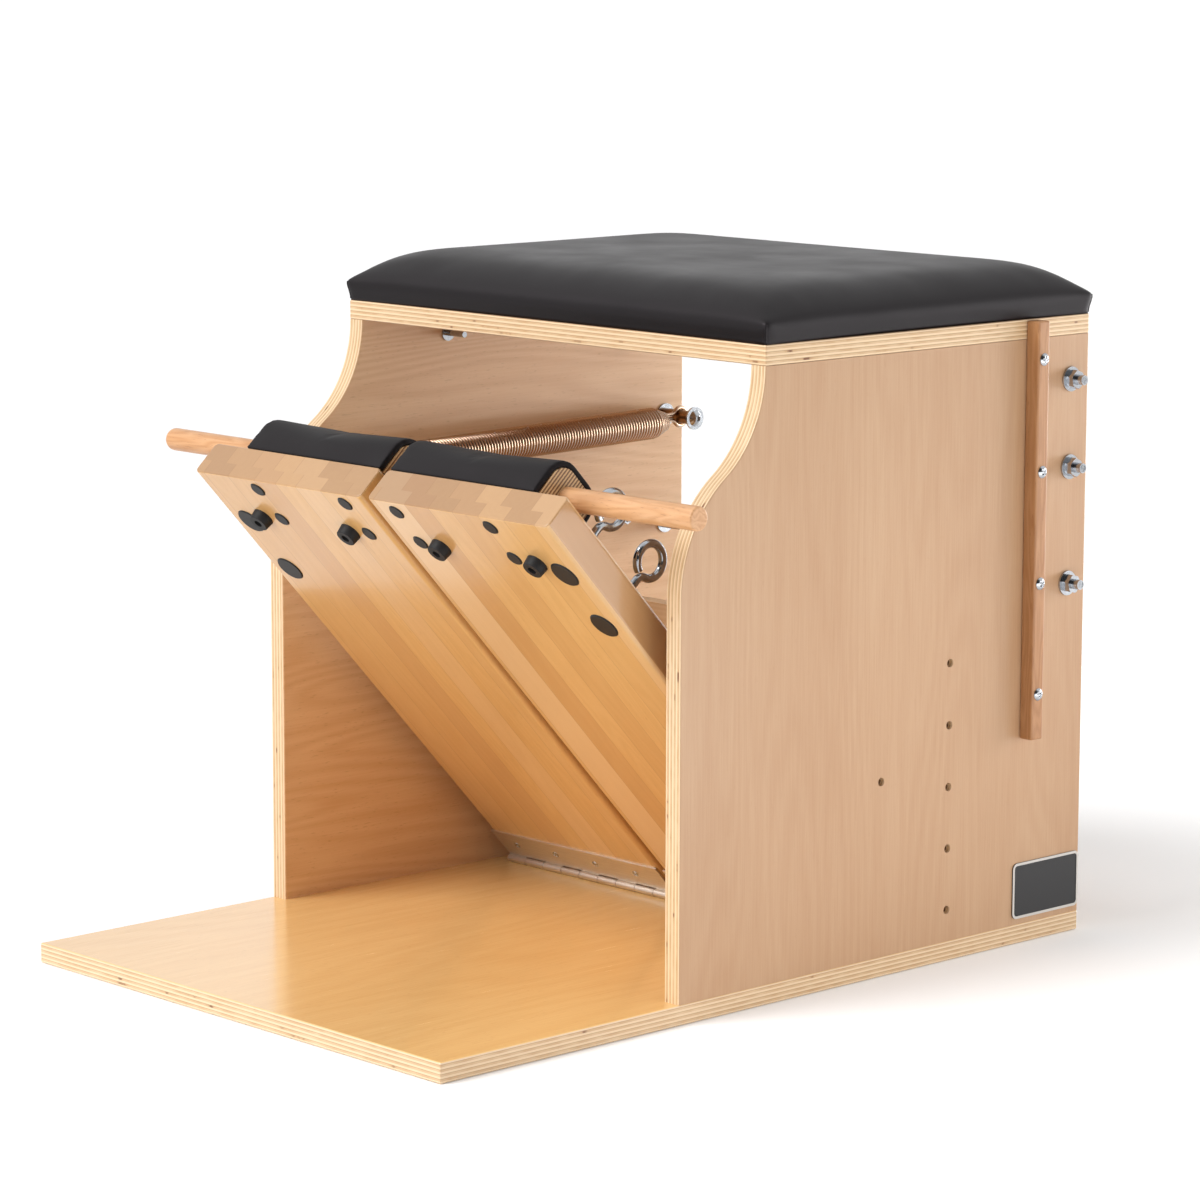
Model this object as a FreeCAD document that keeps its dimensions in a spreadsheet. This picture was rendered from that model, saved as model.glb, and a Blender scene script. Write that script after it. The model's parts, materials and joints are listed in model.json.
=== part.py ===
import FreeCAD, Part
import math
import os
import re

import Sketcher

# A pilates chair with a split pedal. Millimetres, +Z up, the front is -Y.
# The origin is the centre of the base board's underside. Left is -X, as seen from the front.

V = FreeCAD.Vector

# Driving dimensions. Insets are measured forward from the rear edge of the base.
# Drops are measured down the pedal from its top end.
SIZES = {
    # boards
    "base_width": 580,
    "base_depth": 830,
    "base_thickness": 19,
    "panel_thickness": 19,
    "panel_depth": 546,
    "panel_height": 570,
    "curve_height": 202,
    "curve_radius": 130,
    "curve_step": 104,
    "seat_thickness": 19,
    "cross_behind_hinge": 23.5,
    "cross_thickness": 19,
    "cross_height": 281,
    "rail_inset": 284,
    "rail_height": 187.5,
    "rail_radius": 12.5,
    "edge_round": 1.5,
    # seat pad
    "pad_overhang": 6.5,
    "pad_tuck": 6.5,
    "pad_wall": 21,
    "pad_bevel": 44,
    "pad_height": 46,
    "pad_crown": 4,
    "pad_corner": 8,
    "pad_draw_in": 3,
    "pad_board_inset": 40,
    "pad_board_thickness": 9,
    # screws through the side panels
    "panel_screw_radius": 2.25,
    "panel_screw_head": 4,
    "panel_screw_length": 48,
    "panel_screw_recess": 5,
    "cross_screw_first": 31,
    "cross_screw_last": 11,
    # screws up through the base, down through the seat board and up into the pad's board
    "board_screw_radius": 2.5,
    "board_screw_head": 5,
    "board_screw_length": 45,
    "board_screw_recess": 2,
    "base_screw_inset": 60,
    "base_screw_pitch": 140,
    "seat_screw_inset": 60,
    "seat_screw_pitch": 160,
    "pad_screw_cover": 3,
    "pad_screw_inset_x": 90,
    "pad_screw_inset_y": 80,
    "screw_head_height": 3,
    # battens
    "batten_inset": 83,
    "batten_width": 16,
    "batten_depth": 16,
    "batten_length": 404,
    "batten_round": 2,
    "batten_top_gap": 1,
    "batten_bolt_radius": 2.5,
    "batten_bolt_head": 6,
    "batten_bolt_rise": 3.4,
    "batten_bolt_first": 44.5,
    "batten_bolt_last": 36.5,
    "batten_nut_radius": 5,
    "batten_nut_height": 4,
    "thread_end": 2,
    # spring posts
    "post_inset": 26,
    "post_low_drop": 241,
    "post_mid_drop": 127.5,
    "post_top_drop": 42.5,
    "post_bolt_radius": 4.75,
    "post_head_radius": 8.5,
    "post_head_rise": 5,
    "post_socket_radius": 3.4,
    "post_socket_depth": 2.6,
    "post_sleeve_radius": 7,
    "post_sleeve_length": 42,
    "post_washer_radius": 12,
    "post_washer_thickness": 2,
    "post_nut_radius": 9.4,
    "post_nut_height": 8,
    "post_thread_end": 8,
    # storage peg and blank plate
    "peg_inset": 330,
    "peg_drop": 20,
    "peg_radius": 3,
    "peg_reach": 26,
    "peg_depth": 12,
    "peg_washer_radius": 8,
    "peg_washer_thickness": 1.5,
    "plate_length": 96,
    "plate_height": 55,
    "plate_thickness": 1.4,
    "plate_rim": 2.5,
    "plate_rim_height": 0.4,
    "plate_corner": 6,
    "plate_inset": 1.5,
    "plate_rise": 6,
    # pedals
    "pedal_gap": 10,
    "pedal_side_gap": 22,
    "pedal_thickness": 36,
    "pedal_length": 593,
    "pedal_start": 3,
    "pedal_lean_angle": 43,
    "pedal_round": 5,
    # hinges
    "hinge_inset": 266,
    "knuckle_radius": 4,
    "knuckle_count": 9,
    "knuckle_gap": 0.6,
    "hinge_pin_radius": 2.2,
    "leaf_thickness": 1.6,
    "leaf_reach": 42,
    "leaf_screw_reach": 24,
    "leaf_screw_first": 41,
    "leaf_screw_last": 27,
    "leaf_screw_radius": 1.9,
    "leaf_screw_head": 3.8,
    "leaf_screw_rise": 1.3,
    "leaf_screw_length": 16,
    # bolsters and the locking dowel
    "bolster_drop": 35,
    "bolster_inset": 2,
    "bolster_eye_gap": 15,
    "core_width": 58,
    "core_height": 43,
    "core_shoulder": 18,
    "wrap_thickness": 7,
    "wrap_gap": 0.15,
    "dowel_radius": 11,
    "dowel_length": 742,
    "dowel_cover": 10,
    "dowel_nose": 8,
    "dowel_end_round": 2,
    # screws, plugs and bumpers on the pedals' front faces
    "bolster_screw_inner": 29.5,
    "bolster_screw_outer": 38.5,
    "bolster_screw_edge": 8,
    "bolster_screw_radius": 2.5,
    "bolster_screw_head": 5,
    "bolster_screw_depth": 16,
    "bolster_screw_length": 42,
    "plug_radius": 8.5,
    "plug_rise": 1.2,
    "plug_stem_radius": 6.8,
    "plug_stem": 6,
    "bumper_inner": 59.5,
    "bumper_outer": 55.25,
    "bumper_drop": 57.5,
    "bumper_radius": 13,
    "bumper_face_radius": 11.5,
    "bumper_height": 11,
    "bumper_recess_radius": 5,
    "bumper_floor": 4,
    "bumper_screw_radius": 2,
    "bumper_screw_head": 4,
    "bumper_screw_length": 20,
    # eye bolts
    "eye_inset": 27,
    "eye_upper_drop": 68,
    "eye_lower_drop": 138,
    "eye_rise": 41,
    "eye_radius": 16,
    "eye_wire_radius": 4,
    "eye_neck_radius": 10,
    "eye_nut_radius": 8,
    "eye_nut_height": 6.5,
    "eye_washer_radius": 12,
    "eye_washer_thickness": 1.6,
    "eye_recess": 14,
    "eye_end_gap": 1,
    "eye_open_angle": 15,
    "nut_plug_radius": 15,
    "nut_plug_stem_radius": 12.6,
    "nut_plug_stem": 3,
    # spring
    "spring_wire_radius": 2.25,
    "spring_radius": 14.4,
    "spring_tip_gap": 0.45,
    "spring_cone_turns": 4,
    "spring_coil_gap": 0.58,
    "spring_hook_reach": 16,
    "spring_loop_reach": 17,
    "spring_hold_gap": 3.7,
    "spring_flare_gap": 2.35,
    "spring_leg_gap": 0.6,
    "spring_eye_hook_radius": 9,
    "spring_eye_gap": 0.5,
    # how far cuts pass a face and joined solids reach into each other, and clearances
    "cut_past": 1,
    "weld": 0.5,
    "fit_gap": 0.1,
    "running_gap": 0.05,
    "soft_gap": 0.3,
}

SIDES = {"left": -1, "right": 1}
TURNS = {
    "+x": "vector(0; 1; 0); 90",
    "-x": "vector(0; 1; 0); -90",
    "+y": "vector(1; 0; 0); -90",
    "-y": "vector(1; 0; 0); 90",
    "+z": "vector(1; 0; 0); 0",
    "-z": "vector(1; 0; 0); 180",
}

# Places that several pieces share, as formulas of the sizes.
REAR = "base_depth / 2"
SEAT_DEPTH = "(panel_depth - curve_step)"
SEAT_UNDER = "(base_thickness + panel_height)"
SEAT_TOP = "(base_thickness + panel_height + seat_thickness)"
INNER_X = "(base_width / 2 - panel_thickness)"
CROSS_INSET = "(hinge_inset - leaf_reach - cross_behind_hinge - cross_thickness / 2)"
BATTEN_BOTTOM = f"({SEAT_TOP} - batten_top_gap - batten_length)"
PAD_SCREW_LENGTH = "(seat_thickness + pad_board_thickness - board_screw_recess - pad_screw_cover)"
HINGE_Y = "(base_depth / 2 - hinge_inset)"
HINGE_Z = "(base_thickness + knuckle_radius)"
PEDAL_FRONT = "knuckle_radius"
PEDAL_BACK = "(knuckle_radius + pedal_thickness)"
PEDAL_TOP = "(pedal_start + pedal_length)"
PEDAL_INNER = "pedal_gap / 2"
PEDAL_OUTER = "(base_width / 2 - panel_thickness - pedal_side_gap)"
PEDAL_WIDTH = f"({PEDAL_OUTER} - pedal_gap / 2)"
EYE_X = f"({PEDAL_OUTER} - eye_inset)"
BOLSTER_S = "(pedal_start + pedal_length - bolster_drop)"
BOLSTER_INNER = "(pedal_gap / 2 + bolster_inset)"
BOLSTER_OUTER = f"({EYE_X} - eye_wire_radius - bolster_eye_gap)"
BOLSTER_LENGTH = f"({BOLSTER_OUTER} - {BOLSTER_INNER})"
DOWEL_N = f"({PEDAL_BACK} + core_height - dowel_cover - dowel_radius)"

doc = FreeCAD.newDocument("PilatesChair")
sheet = doc.addObject("Spreadsheet::Sheet", "Sizes")
for row, (size_name, size) in enumerate(SIZES.items(), 1):
    sheet.set(f"A{row}", size_name)
    sheet.set(f"B{row}", str(size))
    sheet.setAlias(f"B{row}", size_name)
doc.recompute()

nodes = {}


def terms(formula):
    """Write a formula of sizes as an expression on the sheet's cells."""
    return re.sub(r"[a-z][a-z_]*", lambda m: f"Sizes.{m[0]}" if m[0] in SIZES else m[0], str(formula))


def value(formula):
    """The number that a formula of sizes gives."""
    return float(sheet.evalExpression(terms(formula)))


def bind(item, **formulas):
    """Bind properties of an object to formulas of the sizes."""
    for name, formula in formulas.items():
        item.setExpression(name, terms(formula))
    return item


def place(item, x=0, y=0, z=0, turn=TURNS["+z"]):
    """Bind an object's place; turn is the axis and angle of its rotation."""
    item.setExpression("Placement", terms(f"placement(vector({x}; {y}; {z}); rotation({turn}))"))
    return item


def on_pedal(item, x=0):
    """Set a piece that is drawn upright in the pedal's own frame on the leaning pedal."""
    return place(item, x, HINGE_Y, HINGE_Z, "vector(1; 0; 0); pedal_lean_angle")


def node(label, item):
    """Name an object as one of the chair's pieces."""
    item.Label = label
    nodes[label] = item
    return item


def cylinder(radius, length, spot, along="+z"):
    item = doc.addObject("Part::Cylinder", "Cylinder")
    bind(item, Radius=radius, Height=length)
    return place(item, *spot, TURNS[along])


def cone(radius, end_radius, length, spot, along="+z"):
    item = doc.addObject("Part::Cone", "Cone")
    bind(item, Radius1=radius, Radius2=end_radius, Height=length)
    return place(item, *spot, TURNS[along])


def prism(radius, length, spot, along="+z"):
    item = doc.addObject("Part::Prism", "Hexagon")
    item.Polygon = 6
    bind(item, Circumradius=radius, Height=length)
    return place(item, *spot, TURNS[along])


def box(length, width, height, spot):
    item = doc.addObject("Part::Box", "Box")
    bind(item, Length=length, Width=width, Height=height)
    return place(item, *spot)


def dome(radius, rise, spot, along="+z"):
    """A round head: a cap of a sphere, flat side at the spot."""
    ball = f"(({radius}) ^ 2 + ({rise}) ^ 2) / (2 * ({rise}))"
    item = doc.addObject("Part::Sphere", "Dome")
    bind(item, Radius=ball, Angle1=f"asin(({ball} - ({rise})) / ({ball}))")
    return place(item, *shifted(spot, along, f"({rise}) - {ball}"), TURNS[along])


def fuse(parts):
    item = doc.addObject("Part::MultiFuse", "Joined")
    item.Shapes = parts
    return item


def cut(base, tools):
    item = doc.addObject("Part::Cut", "CutPiece")
    item.Base = base
    item.Tool = tools[0] if len(tools) == 1 else fuse(tools)
    return item


def group(parts):
    """Separate solids that share one piece's name."""
    item = doc.addObject("Part::Compound", "Group")
    item.Links = parts
    return item


def shifted(spot, along, distance):
    """A spot moved along one of the six directions."""
    sign, axis = along
    index = "xyz".index(axis)
    return tuple(f"{s} {sign} ({distance})" if i == index else s for i, s in enumerate(spot))


def stack(spot, along, *pieces):
    """Cylinders in line, each given as radius, start and length along the axis."""
    return [cylinder(r, length, shifted(spot, along, start), along) for r, start, length in pieces]


def ring(radius, bore, length, spot, along):
    """A washer or sleeve."""
    hole = cylinder(bore, f"{length} + 2 * cut_past", shifted(spot, along, "-cut_past"), along)
    return cut(cylinder(radius, length, spot, along), [hole])


def nut(radius, bore, length, spot, along):
    """A hexagon nut."""
    hole = cylinder(bore, f"{length} + 2 * cut_past", shifted(spot, along, "-cut_past"), along)
    return cut(prism(radius, length, spot, along), [hole])


def side_x(sign, depth):
    """The x of a point at a depth inboard from a side panel's outer face."""
    return f"{sign} * (base_width / 2 - ({depth}))"


def span_start(sign, near, far):
    """The lower x of a stretch from near to far of the middle, on one side."""
    return near if sign > 0 else f"-({far})"


def spaced(first, last, count):
    """Evenly spaced places from the first to the last."""
    return [f"{first} + {i} * ({last} - ({first})) / {count - 1}" for i in range(count)]


def inward(sign):
    return "-x" if sign > 0 else "+x"


def outward(sign):
    return "+x" if sign > 0 else "-x"


def new_sketch(body, role, name):
    """A sketch on one of a body's own origin planes."""
    plane = next(f for f in body.Origin.OriginFeatures if f.Role == role)
    sketch = body.newObject("Sketcher::SketchObject", name)
    sketch.AttachmentSupport = (plane, [""])
    sketch.MapMode = "FlatFace"
    return sketch


def dimension(sketch, kind, *args):
    """A sketch dimension; the last argument is its formula."""
    *geometry, formula = args
    index = sketch.addConstraint(Sketcher.Constraint(kind, *geometry, value(formula)))
    sketch.setExpression(f"Constraints[{index}]", terms(formula))


def extrude(body, sketch, length):
    feature = body.newObject("PartDesign::Pad", "Pad")
    feature.Profile = sketch
    return bind(feature, Length=length)


def round_edges(body, feature, chosen, radius):
    """Round the edges of a feature that a test picks."""
    doc.recompute()
    names = [f"Edge{i}" for i, edge in enumerate(feature.Shape.Edges, 1) if chosen(edge)]
    item = body.newObject("PartDesign::Fillet", "Round")
    item.Base = (feature, names)
    return bind(item, Radius=radius)


def runs_along(edge, axis):
    """Whether an edge is straight and parallel to an axis."""
    return isinstance(edge.Curve, Part.Line) and abs(edge.Curve.Direction.dot(axis)) > 0.999


def plank(name, length, width, thickness):
    """A board centred on its own origin, standing on z = 0."""
    body = doc.addObject("PartDesign::Body", name)
    sketch = new_sketch(body, "XY_Plane", f"{name}Sketch")
    half_length = value(length) / 2
    half_width = value(width) / 2
    corners = [
        V(-half_length, -half_width),
        V(half_length, -half_width),
        V(half_length, half_width),
        V(-half_length, half_width),
    ]
    sketch.addGeometry([Part.LineSegment(corners[i], corners[(i + 1) % 4]) for i in range(4)], False)
    joints = [Sketcher.Constraint("Coincident", i, 2, (i + 1) % 4, 1) for i in range(4)]
    level = [Sketcher.Constraint(kind, i) for i, kind in enumerate(["Horizontal", "Vertical"] * 2)]
    sketch.addConstraint(joints + level + [Sketcher.Constraint("Symmetric", 0, 1, 1, 2, -1, 1)])
    dimension(sketch, "DistanceX", 0, 1, 0, 2, length)
    dimension(sketch, "DistanceY", 1, 1, 1, 2, width)
    return body, extrude(body, sketch, thickness)


def rounded_plank(name, length, width, thickness, radius):
    body, feature = plank(name, length, width, thickness)
    round_edges(body, feature, lambda edge: True, radius)
    return body


# Side panels

def side_panel(name):
    """A panel with a straight foot and an S-curve of two tangent arcs up to the seat board."""
    body = doc.addObject("PartDesign::Body", name)
    sketch = new_sketch(body, "YZ_Plane", f"{name}Sketch")
    rear = value(REAR)
    front = rear - value("panel_depth")
    top_front = rear - value(SEAT_DEPTH)
    foot = value("base_thickness")
    top = value(SEAT_UNDER)
    curve_foot = top - value("curve_height")
    step = top_front - front
    lower = value("curve_radius")
    both = (step ** 2 + value("curve_height") ** 2) / (2 * step)
    lower_centre = V(front + lower, curve_foot)
    upper_centre = V(top_front - both + lower, top)
    turn = upper_centre - lower_centre
    angle = math.atan2(turn.y, turn.x)
    up = V(0, 0, 1)
    sketch.addGeometry([
        Part.LineSegment(V(rear, foot), V(front, foot)),
        Part.LineSegment(V(front, foot), V(front, curve_foot)),
        Part.ArcOfCircle(Part.Circle(lower_centre, up, lower), angle, math.pi),
        Part.ArcOfCircle(Part.Circle(upper_centre, up, both - lower), angle - math.pi, 0.0),
        Part.LineSegment(V(top_front, top), V(rear, top)),
        Part.LineSegment(V(rear, top), V(rear, foot)),
    ], False)
    sketch.addConstraint([
        Sketcher.Constraint("Coincident", 0, 2, 1, 1),
        Sketcher.Constraint("Tangent", 1, 2, 2, 2),
        Sketcher.Constraint("Tangent", 2, 1, 3, 1),
        Sketcher.Constraint("Coincident", 3, 2, 4, 1),
        Sketcher.Constraint("Coincident", 4, 2, 5, 1),
        Sketcher.Constraint("Coincident", 5, 2, 0, 1),
        Sketcher.Constraint("Horizontal", 0),
        Sketcher.Constraint("Vertical", 1),
        Sketcher.Constraint("Horizontal", 4),
        Sketcher.Constraint("Vertical", 5),
        Sketcher.Constraint("Horizontal", 3, 3, 3, 2),
    ])
    dimension(sketch, "DistanceX", -1, 1, 0, 1, REAR)
    dimension(sketch, "DistanceY", -1, 1, 0, 1, "base_thickness")
    dimension(sketch, "DistanceX", 0, 2, 0, 1, "panel_depth")
    dimension(sketch, "DistanceY", 5, 2, 5, 1, "panel_height")
    dimension(sketch, "DistanceX", 4, 1, 4, 2, SEAT_DEPTH)
    dimension(sketch, "DistanceY", 1, 2, 4, 1, "curve_height")
    dimension(sketch, "Radius", 2, "curve_radius")
    feature = extrude(body, sketch, "panel_thickness")

    def shows(edge):
        """The long edges of the front and the rear; those of the joints stay sharp."""
        middle = edge.CenterOfMass
        inside = foot + 1 < middle.z < top - 1
        return inside and not runs_along(edge, V(1, 0, 0))

    round_edges(body, feature, shows, "edge_round")
    return body


# Fasteners of the frame, each with the holes that it needs

def panel_screw(sign, y, z):
    spot = (side_x(sign, "panel_screw_recess"), y, z)
    along = inward(sign)
    screw = fuse(stack(
        spot, along,
        ("panel_screw_head", 0, "screw_head_height"),
        ("panel_screw_radius", "screw_head_height - weld", "panel_screw_length + weld"),
    ))
    holes = stack(
        spot, along,
        ("panel_screw_head + fit_gap", "-panel_screw_recess - cut_past",
         "panel_screw_recess + cut_past + screw_head_height"),
        ("panel_screw_radius + fit_gap", 0, "screw_head_height + panel_screw_length + fit_gap"),
    )
    return screw, holes


def board_screw(spot, along, length="board_screw_length"):
    """A screw whose head lies recessed in the face that the spot is on."""
    screw = fuse(stack(
        spot, along,
        ("board_screw_head", "board_screw_recess", "screw_head_height"),
        ("board_screw_radius", "board_screw_recess + weld", f"{length} - weld"),
    ))
    holes = stack(
        spot, along,
        ("board_screw_head + fit_gap", "-cut_past", "cut_past + board_screw_recess + screw_head_height"),
        ("board_screw_radius + fit_gap", 0, f"board_screw_recess + {length} + fit_gap"),
    )
    return screw, holes


panel_screws, cross_holes, rail_holes = [], [], []
panel_holes = {"left": [], "right": []}
for side, sign in SIDES.items():
    lowest = "base_thickness + cross_screw_first"
    for height in spaced(lowest, "base_thickness + cross_height - cross_screw_last", 5):
        screw, holes = panel_screw(sign, f"{REAR} - {CROSS_INSET}", height)
        panel_screws.append(screw)
        cross_holes += holes[1:]
        panel_holes[side] += holes
    screw, holes = panel_screw(sign, f"{REAR} - rail_inset", "rail_height")
    panel_screws.append(screw)
    rail_holes += holes[1:]
    panel_holes[side] += holes

base_screws, base_holes = [], []
seat_screws, seat_holes = [], []
pad_screws, pad_board_holes = [], []
for side, sign in SIDES.items():
    edge_x = side_x(sign, "panel_thickness / 2")
    for index in range(4):
        spot = (edge_x, f"{REAR} - base_screw_inset - {index} * base_screw_pitch", 0)
        screw, holes = board_screw(spot, "+z")
        base_screws.append(screw)
        base_holes += holes
        panel_holes[side] += holes[1:]
    for index in range(3):
        spot = (edge_x, f"{REAR} - seat_screw_inset - {index} * seat_screw_pitch", SEAT_TOP)
        screw, holes = board_screw(spot, "-z")
        seat_screws.append(screw)
        seat_holes += holes
        panel_holes[side] += holes[1:]
    for inset in ("pad_screw_inset_y", f"{SEAT_DEPTH} - pad_screw_inset_y"):
        spot = (side_x(sign, "pad_screw_inset_x"), f"{REAR} - ({inset})", SEAT_UNDER)
        screw, holes = board_screw(spot, "+z", PAD_SCREW_LENGTH)
        pad_screws.append(screw)
        seat_holes += holes
        pad_board_holes += holes[1:]

# Battens with their bolts and nuts, and the spring posts

batten_bolts, batten_nuts, batten_holes = [], [], {}
post_parts = {"bolts": [], "sleeves": [], "washers": [], "nuts": []}
for side, sign in SIDES.items():
    along = inward(sign)
    batten_holes[side] = []
    lowest = f"{BATTEN_BOTTOM} + batten_bolt_first"
    for height in spaced(lowest, f"{BATTEN_BOTTOM} + batten_length - batten_bolt_last", 4):
        face = (side_x(sign, "-batten_depth"), f"{REAR} - batten_inset", height)
        grip = "(batten_depth + panel_thickness)"
        head = dome("batten_bolt_head", "batten_bolt_rise", face, outward(sign))
        shank = stack(face, along, (
            "batten_bolt_radius", "-weld", f"weld + {grip} + batten_nut_height + thread_end"))
        batten_bolts.append(fuse([head] + shank))
        inner = shifted(face, along, grip)
        batten_nuts.append(
            nut("batten_nut_radius", "batten_bolt_radius + fit_gap", "batten_nut_height", inner, along))
        hole = stack(face, along, ("batten_bolt_radius + fit_gap", "-cut_past", f"{grip} + 2 * cut_past"))
        batten_holes[side] += hole
        panel_holes[side] += hole

    for drop in ("post_low_drop", "post_mid_drop", "post_top_drop"):
        wall = (side_x(sign, "panel_thickness"), f"{REAR} - post_inset", f"{SEAT_UNDER} - {drop}")
        bore = "post_bolt_radius + fit_gap"
        reach = "(post_sleeve_length + 2 * post_washer_thickness)"
        outer = shifted(wall, outward(sign), "panel_thickness")
        nut_seat = shifted(outer, outward(sign), "post_washer_thickness")
        head_seat = shifted(wall, along, reach)
        shank_length = (f"weld + {reach} + panel_thickness + post_washer_thickness"
                        " + post_nut_height + post_thread_end")
        head = dome("post_head_radius", "post_head_rise", head_seat, along)
        shank = stack(head_seat, outward(sign), ("post_bolt_radius", "-weld", shank_length))
        socket = prism(
            "post_socket_radius", "post_socket_depth + cut_past",
            shifted(head_seat, along, "post_head_rise - post_socket_depth"), along)
        post_parts["bolts"].append(cut(fuse([head] + shank), [socket]))
        sleeve_seat = shifted(wall, along, "post_washer_thickness")
        post_parts["sleeves"].append(
            ring("post_sleeve_radius", bore, "post_sleeve_length", sleeve_seat, along))
        washer_seats = (wall, shifted(sleeve_seat, along, "post_sleeve_length"))
        for seat in washer_seats:
            post_parts["washers"].append(
                ring("post_washer_radius", bore, "post_washer_thickness", seat, along))
        post_parts["washers"].append(
            ring("post_washer_radius", bore, "post_washer_thickness", outer, outward(sign)))
        post_parts["nuts"].append(nut("post_nut_radius", bore, "post_nut_height", nut_seat, outward(sign)))
        panel_holes[side] += stack(
            wall, outward(sign), (bore, "-cut_past", "panel_thickness + 2 * cut_past"))

# Storage peg on the left panel's inner face

peg_spot = (side_x(-1, "panel_thickness"), f"{REAR} - peg_inset", f"{SEAT_UNDER} - peg_drop")
peg, = stack(peg_spot, "+x", ("peg_radius", "-peg_depth", "peg_depth + peg_reach"))
peg_washer = ring("peg_washer_radius", "peg_radius + fit_gap", "peg_washer_thickness", peg_spot, "+x")
node("storage_peg", group([peg, peg_washer]))
panel_holes["left"] += stack(
    peg_spot, "+x", ("peg_radius + fit_gap", "-peg_depth - fit_gap", "peg_depth + fit_gap + cut_past"))

# Hinges: leaves with rolled knuckles, pins and screws

def hinge_row(sign, y, z, first):
    """Knuckles on the hinge axis, every second one, with the stretch of x that each one takes."""
    count = int(value("knuckle_count"))
    step = f"{PEDAL_WIDTH} / {count}"
    row = []
    for index in range(first, count, 2):
        near = f"{PEDAL_INNER} + {index} * {step} + knuckle_gap / 2"
        start = span_start(sign, near, f"{near} + {step} - knuckle_gap")
        length = f"{step} - knuckle_gap"
        row.append((start, length, cylinder("knuckle_radius", length, (start, y, z), "+x")))
    return row


leaf_gap = "(knuckle_radius + knuckle_gap)"
hinge_base_screws, leaf_base_holes = [], []
pedal_leaf_screws = {}
pedal_holes = {"left": [], "right": []}
for side, sign in SIDES.items():
    inner = span_start(sign, PEDAL_INNER, PEDAL_OUTER)
    base_leaf_holes, pedal_leaf_holes = [], []
    pedal_leaf_screws[side] = []
    for offset in spaced(f"{PEDAL_INNER} + leaf_screw_first", f"{PEDAL_OUTER} - leaf_screw_last", 4):
        x = f"{sign} * ({offset})"
        seats = {
            "base": ((x, f"{HINGE_Y} + leaf_screw_reach", "base_thickness + leaf_thickness"), "+z", "-z"),
            "pedal": ((x, f"{PEDAL_FRONT} - leaf_thickness", "leaf_screw_reach"), "-y", "+y"),
        }
        for place_name, (spot, out, along) in seats.items():
            head = dome("leaf_screw_head", "leaf_screw_rise", spot, out)
            shank = stack(spot, along, ("leaf_screw_radius", "-weld", "weld + leaf_screw_length"))
            hole = stack(spot, along, (
                "leaf_screw_radius + fit_gap", "-cut_past", "cut_past + leaf_screw_length + fit_gap"))
            screw = fuse([head] + shank)
            if place_name == "base":
                hinge_base_screws.append(screw)
                base_leaf_holes += hole
                base_holes += hole
            else:
                pedal_leaf_screws[side].append(screw)
                pedal_leaf_holes += hole
                pedal_holes[side] += hole

    pin_bore = cylinder(
        "hinge_pin_radius + running_gap", f"{PEDAL_WIDTH} + 2 * cut_past",
        (f"{inner} - cut_past", HINGE_Y, HINGE_Z), "+x")
    base_leaf = [box(PEDAL_WIDTH, f"leaf_reach - {leaf_gap}", "leaf_thickness",
                     (inner, f"{HINGE_Y} + {leaf_gap}", "base_thickness"))]
    for start, length, knuckle in hinge_row(sign, HINGE_Y, HINGE_Z, 1):
        base_leaf += [knuckle, box(length, f"{leaf_gap} + weld", "leaf_thickness",
                                   (start, HINGE_Y, "base_thickness"))]
    node(f"hinge_base_leaf_{side}", cut(fuse(base_leaf), [pin_bore] + base_leaf_holes))

    pedal_bore = cylinder(
        "hinge_pin_radius + running_gap", f"{PEDAL_WIDTH} + 2 * cut_past",
        (f"{inner} - cut_past", 0, 0), "+x")
    tab_n = f"{PEDAL_FRONT} - leaf_thickness"
    pedal_leaf = [box(PEDAL_WIDTH, "leaf_thickness", f"leaf_reach - {leaf_gap}", (inner, tab_n, leaf_gap))]
    for start, length, knuckle in hinge_row(sign, 0, 0, 0):
        pedal_leaf += [knuckle, box(length, "leaf_thickness", f"{leaf_gap} + weld", (start, tab_n, 0))]
    node(f"hinge_pedal_leaf_{side}", on_pedal(cut(fuse(pedal_leaf), [pedal_bore] + pedal_leaf_holes)))
    node(f"hinge_pedal_screws_{side}", on_pedal(group(pedal_leaf_screws[side])))
    node(f"hinge_pin_{side}", cylinder("hinge_pin_radius", PEDAL_WIDTH, (inner, HINGE_Y, HINGE_Z), "+x"))
node("hinge_base_screws", group(hinge_base_screws))

# Bolsters: arched cores and the padding wrapped over them

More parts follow.
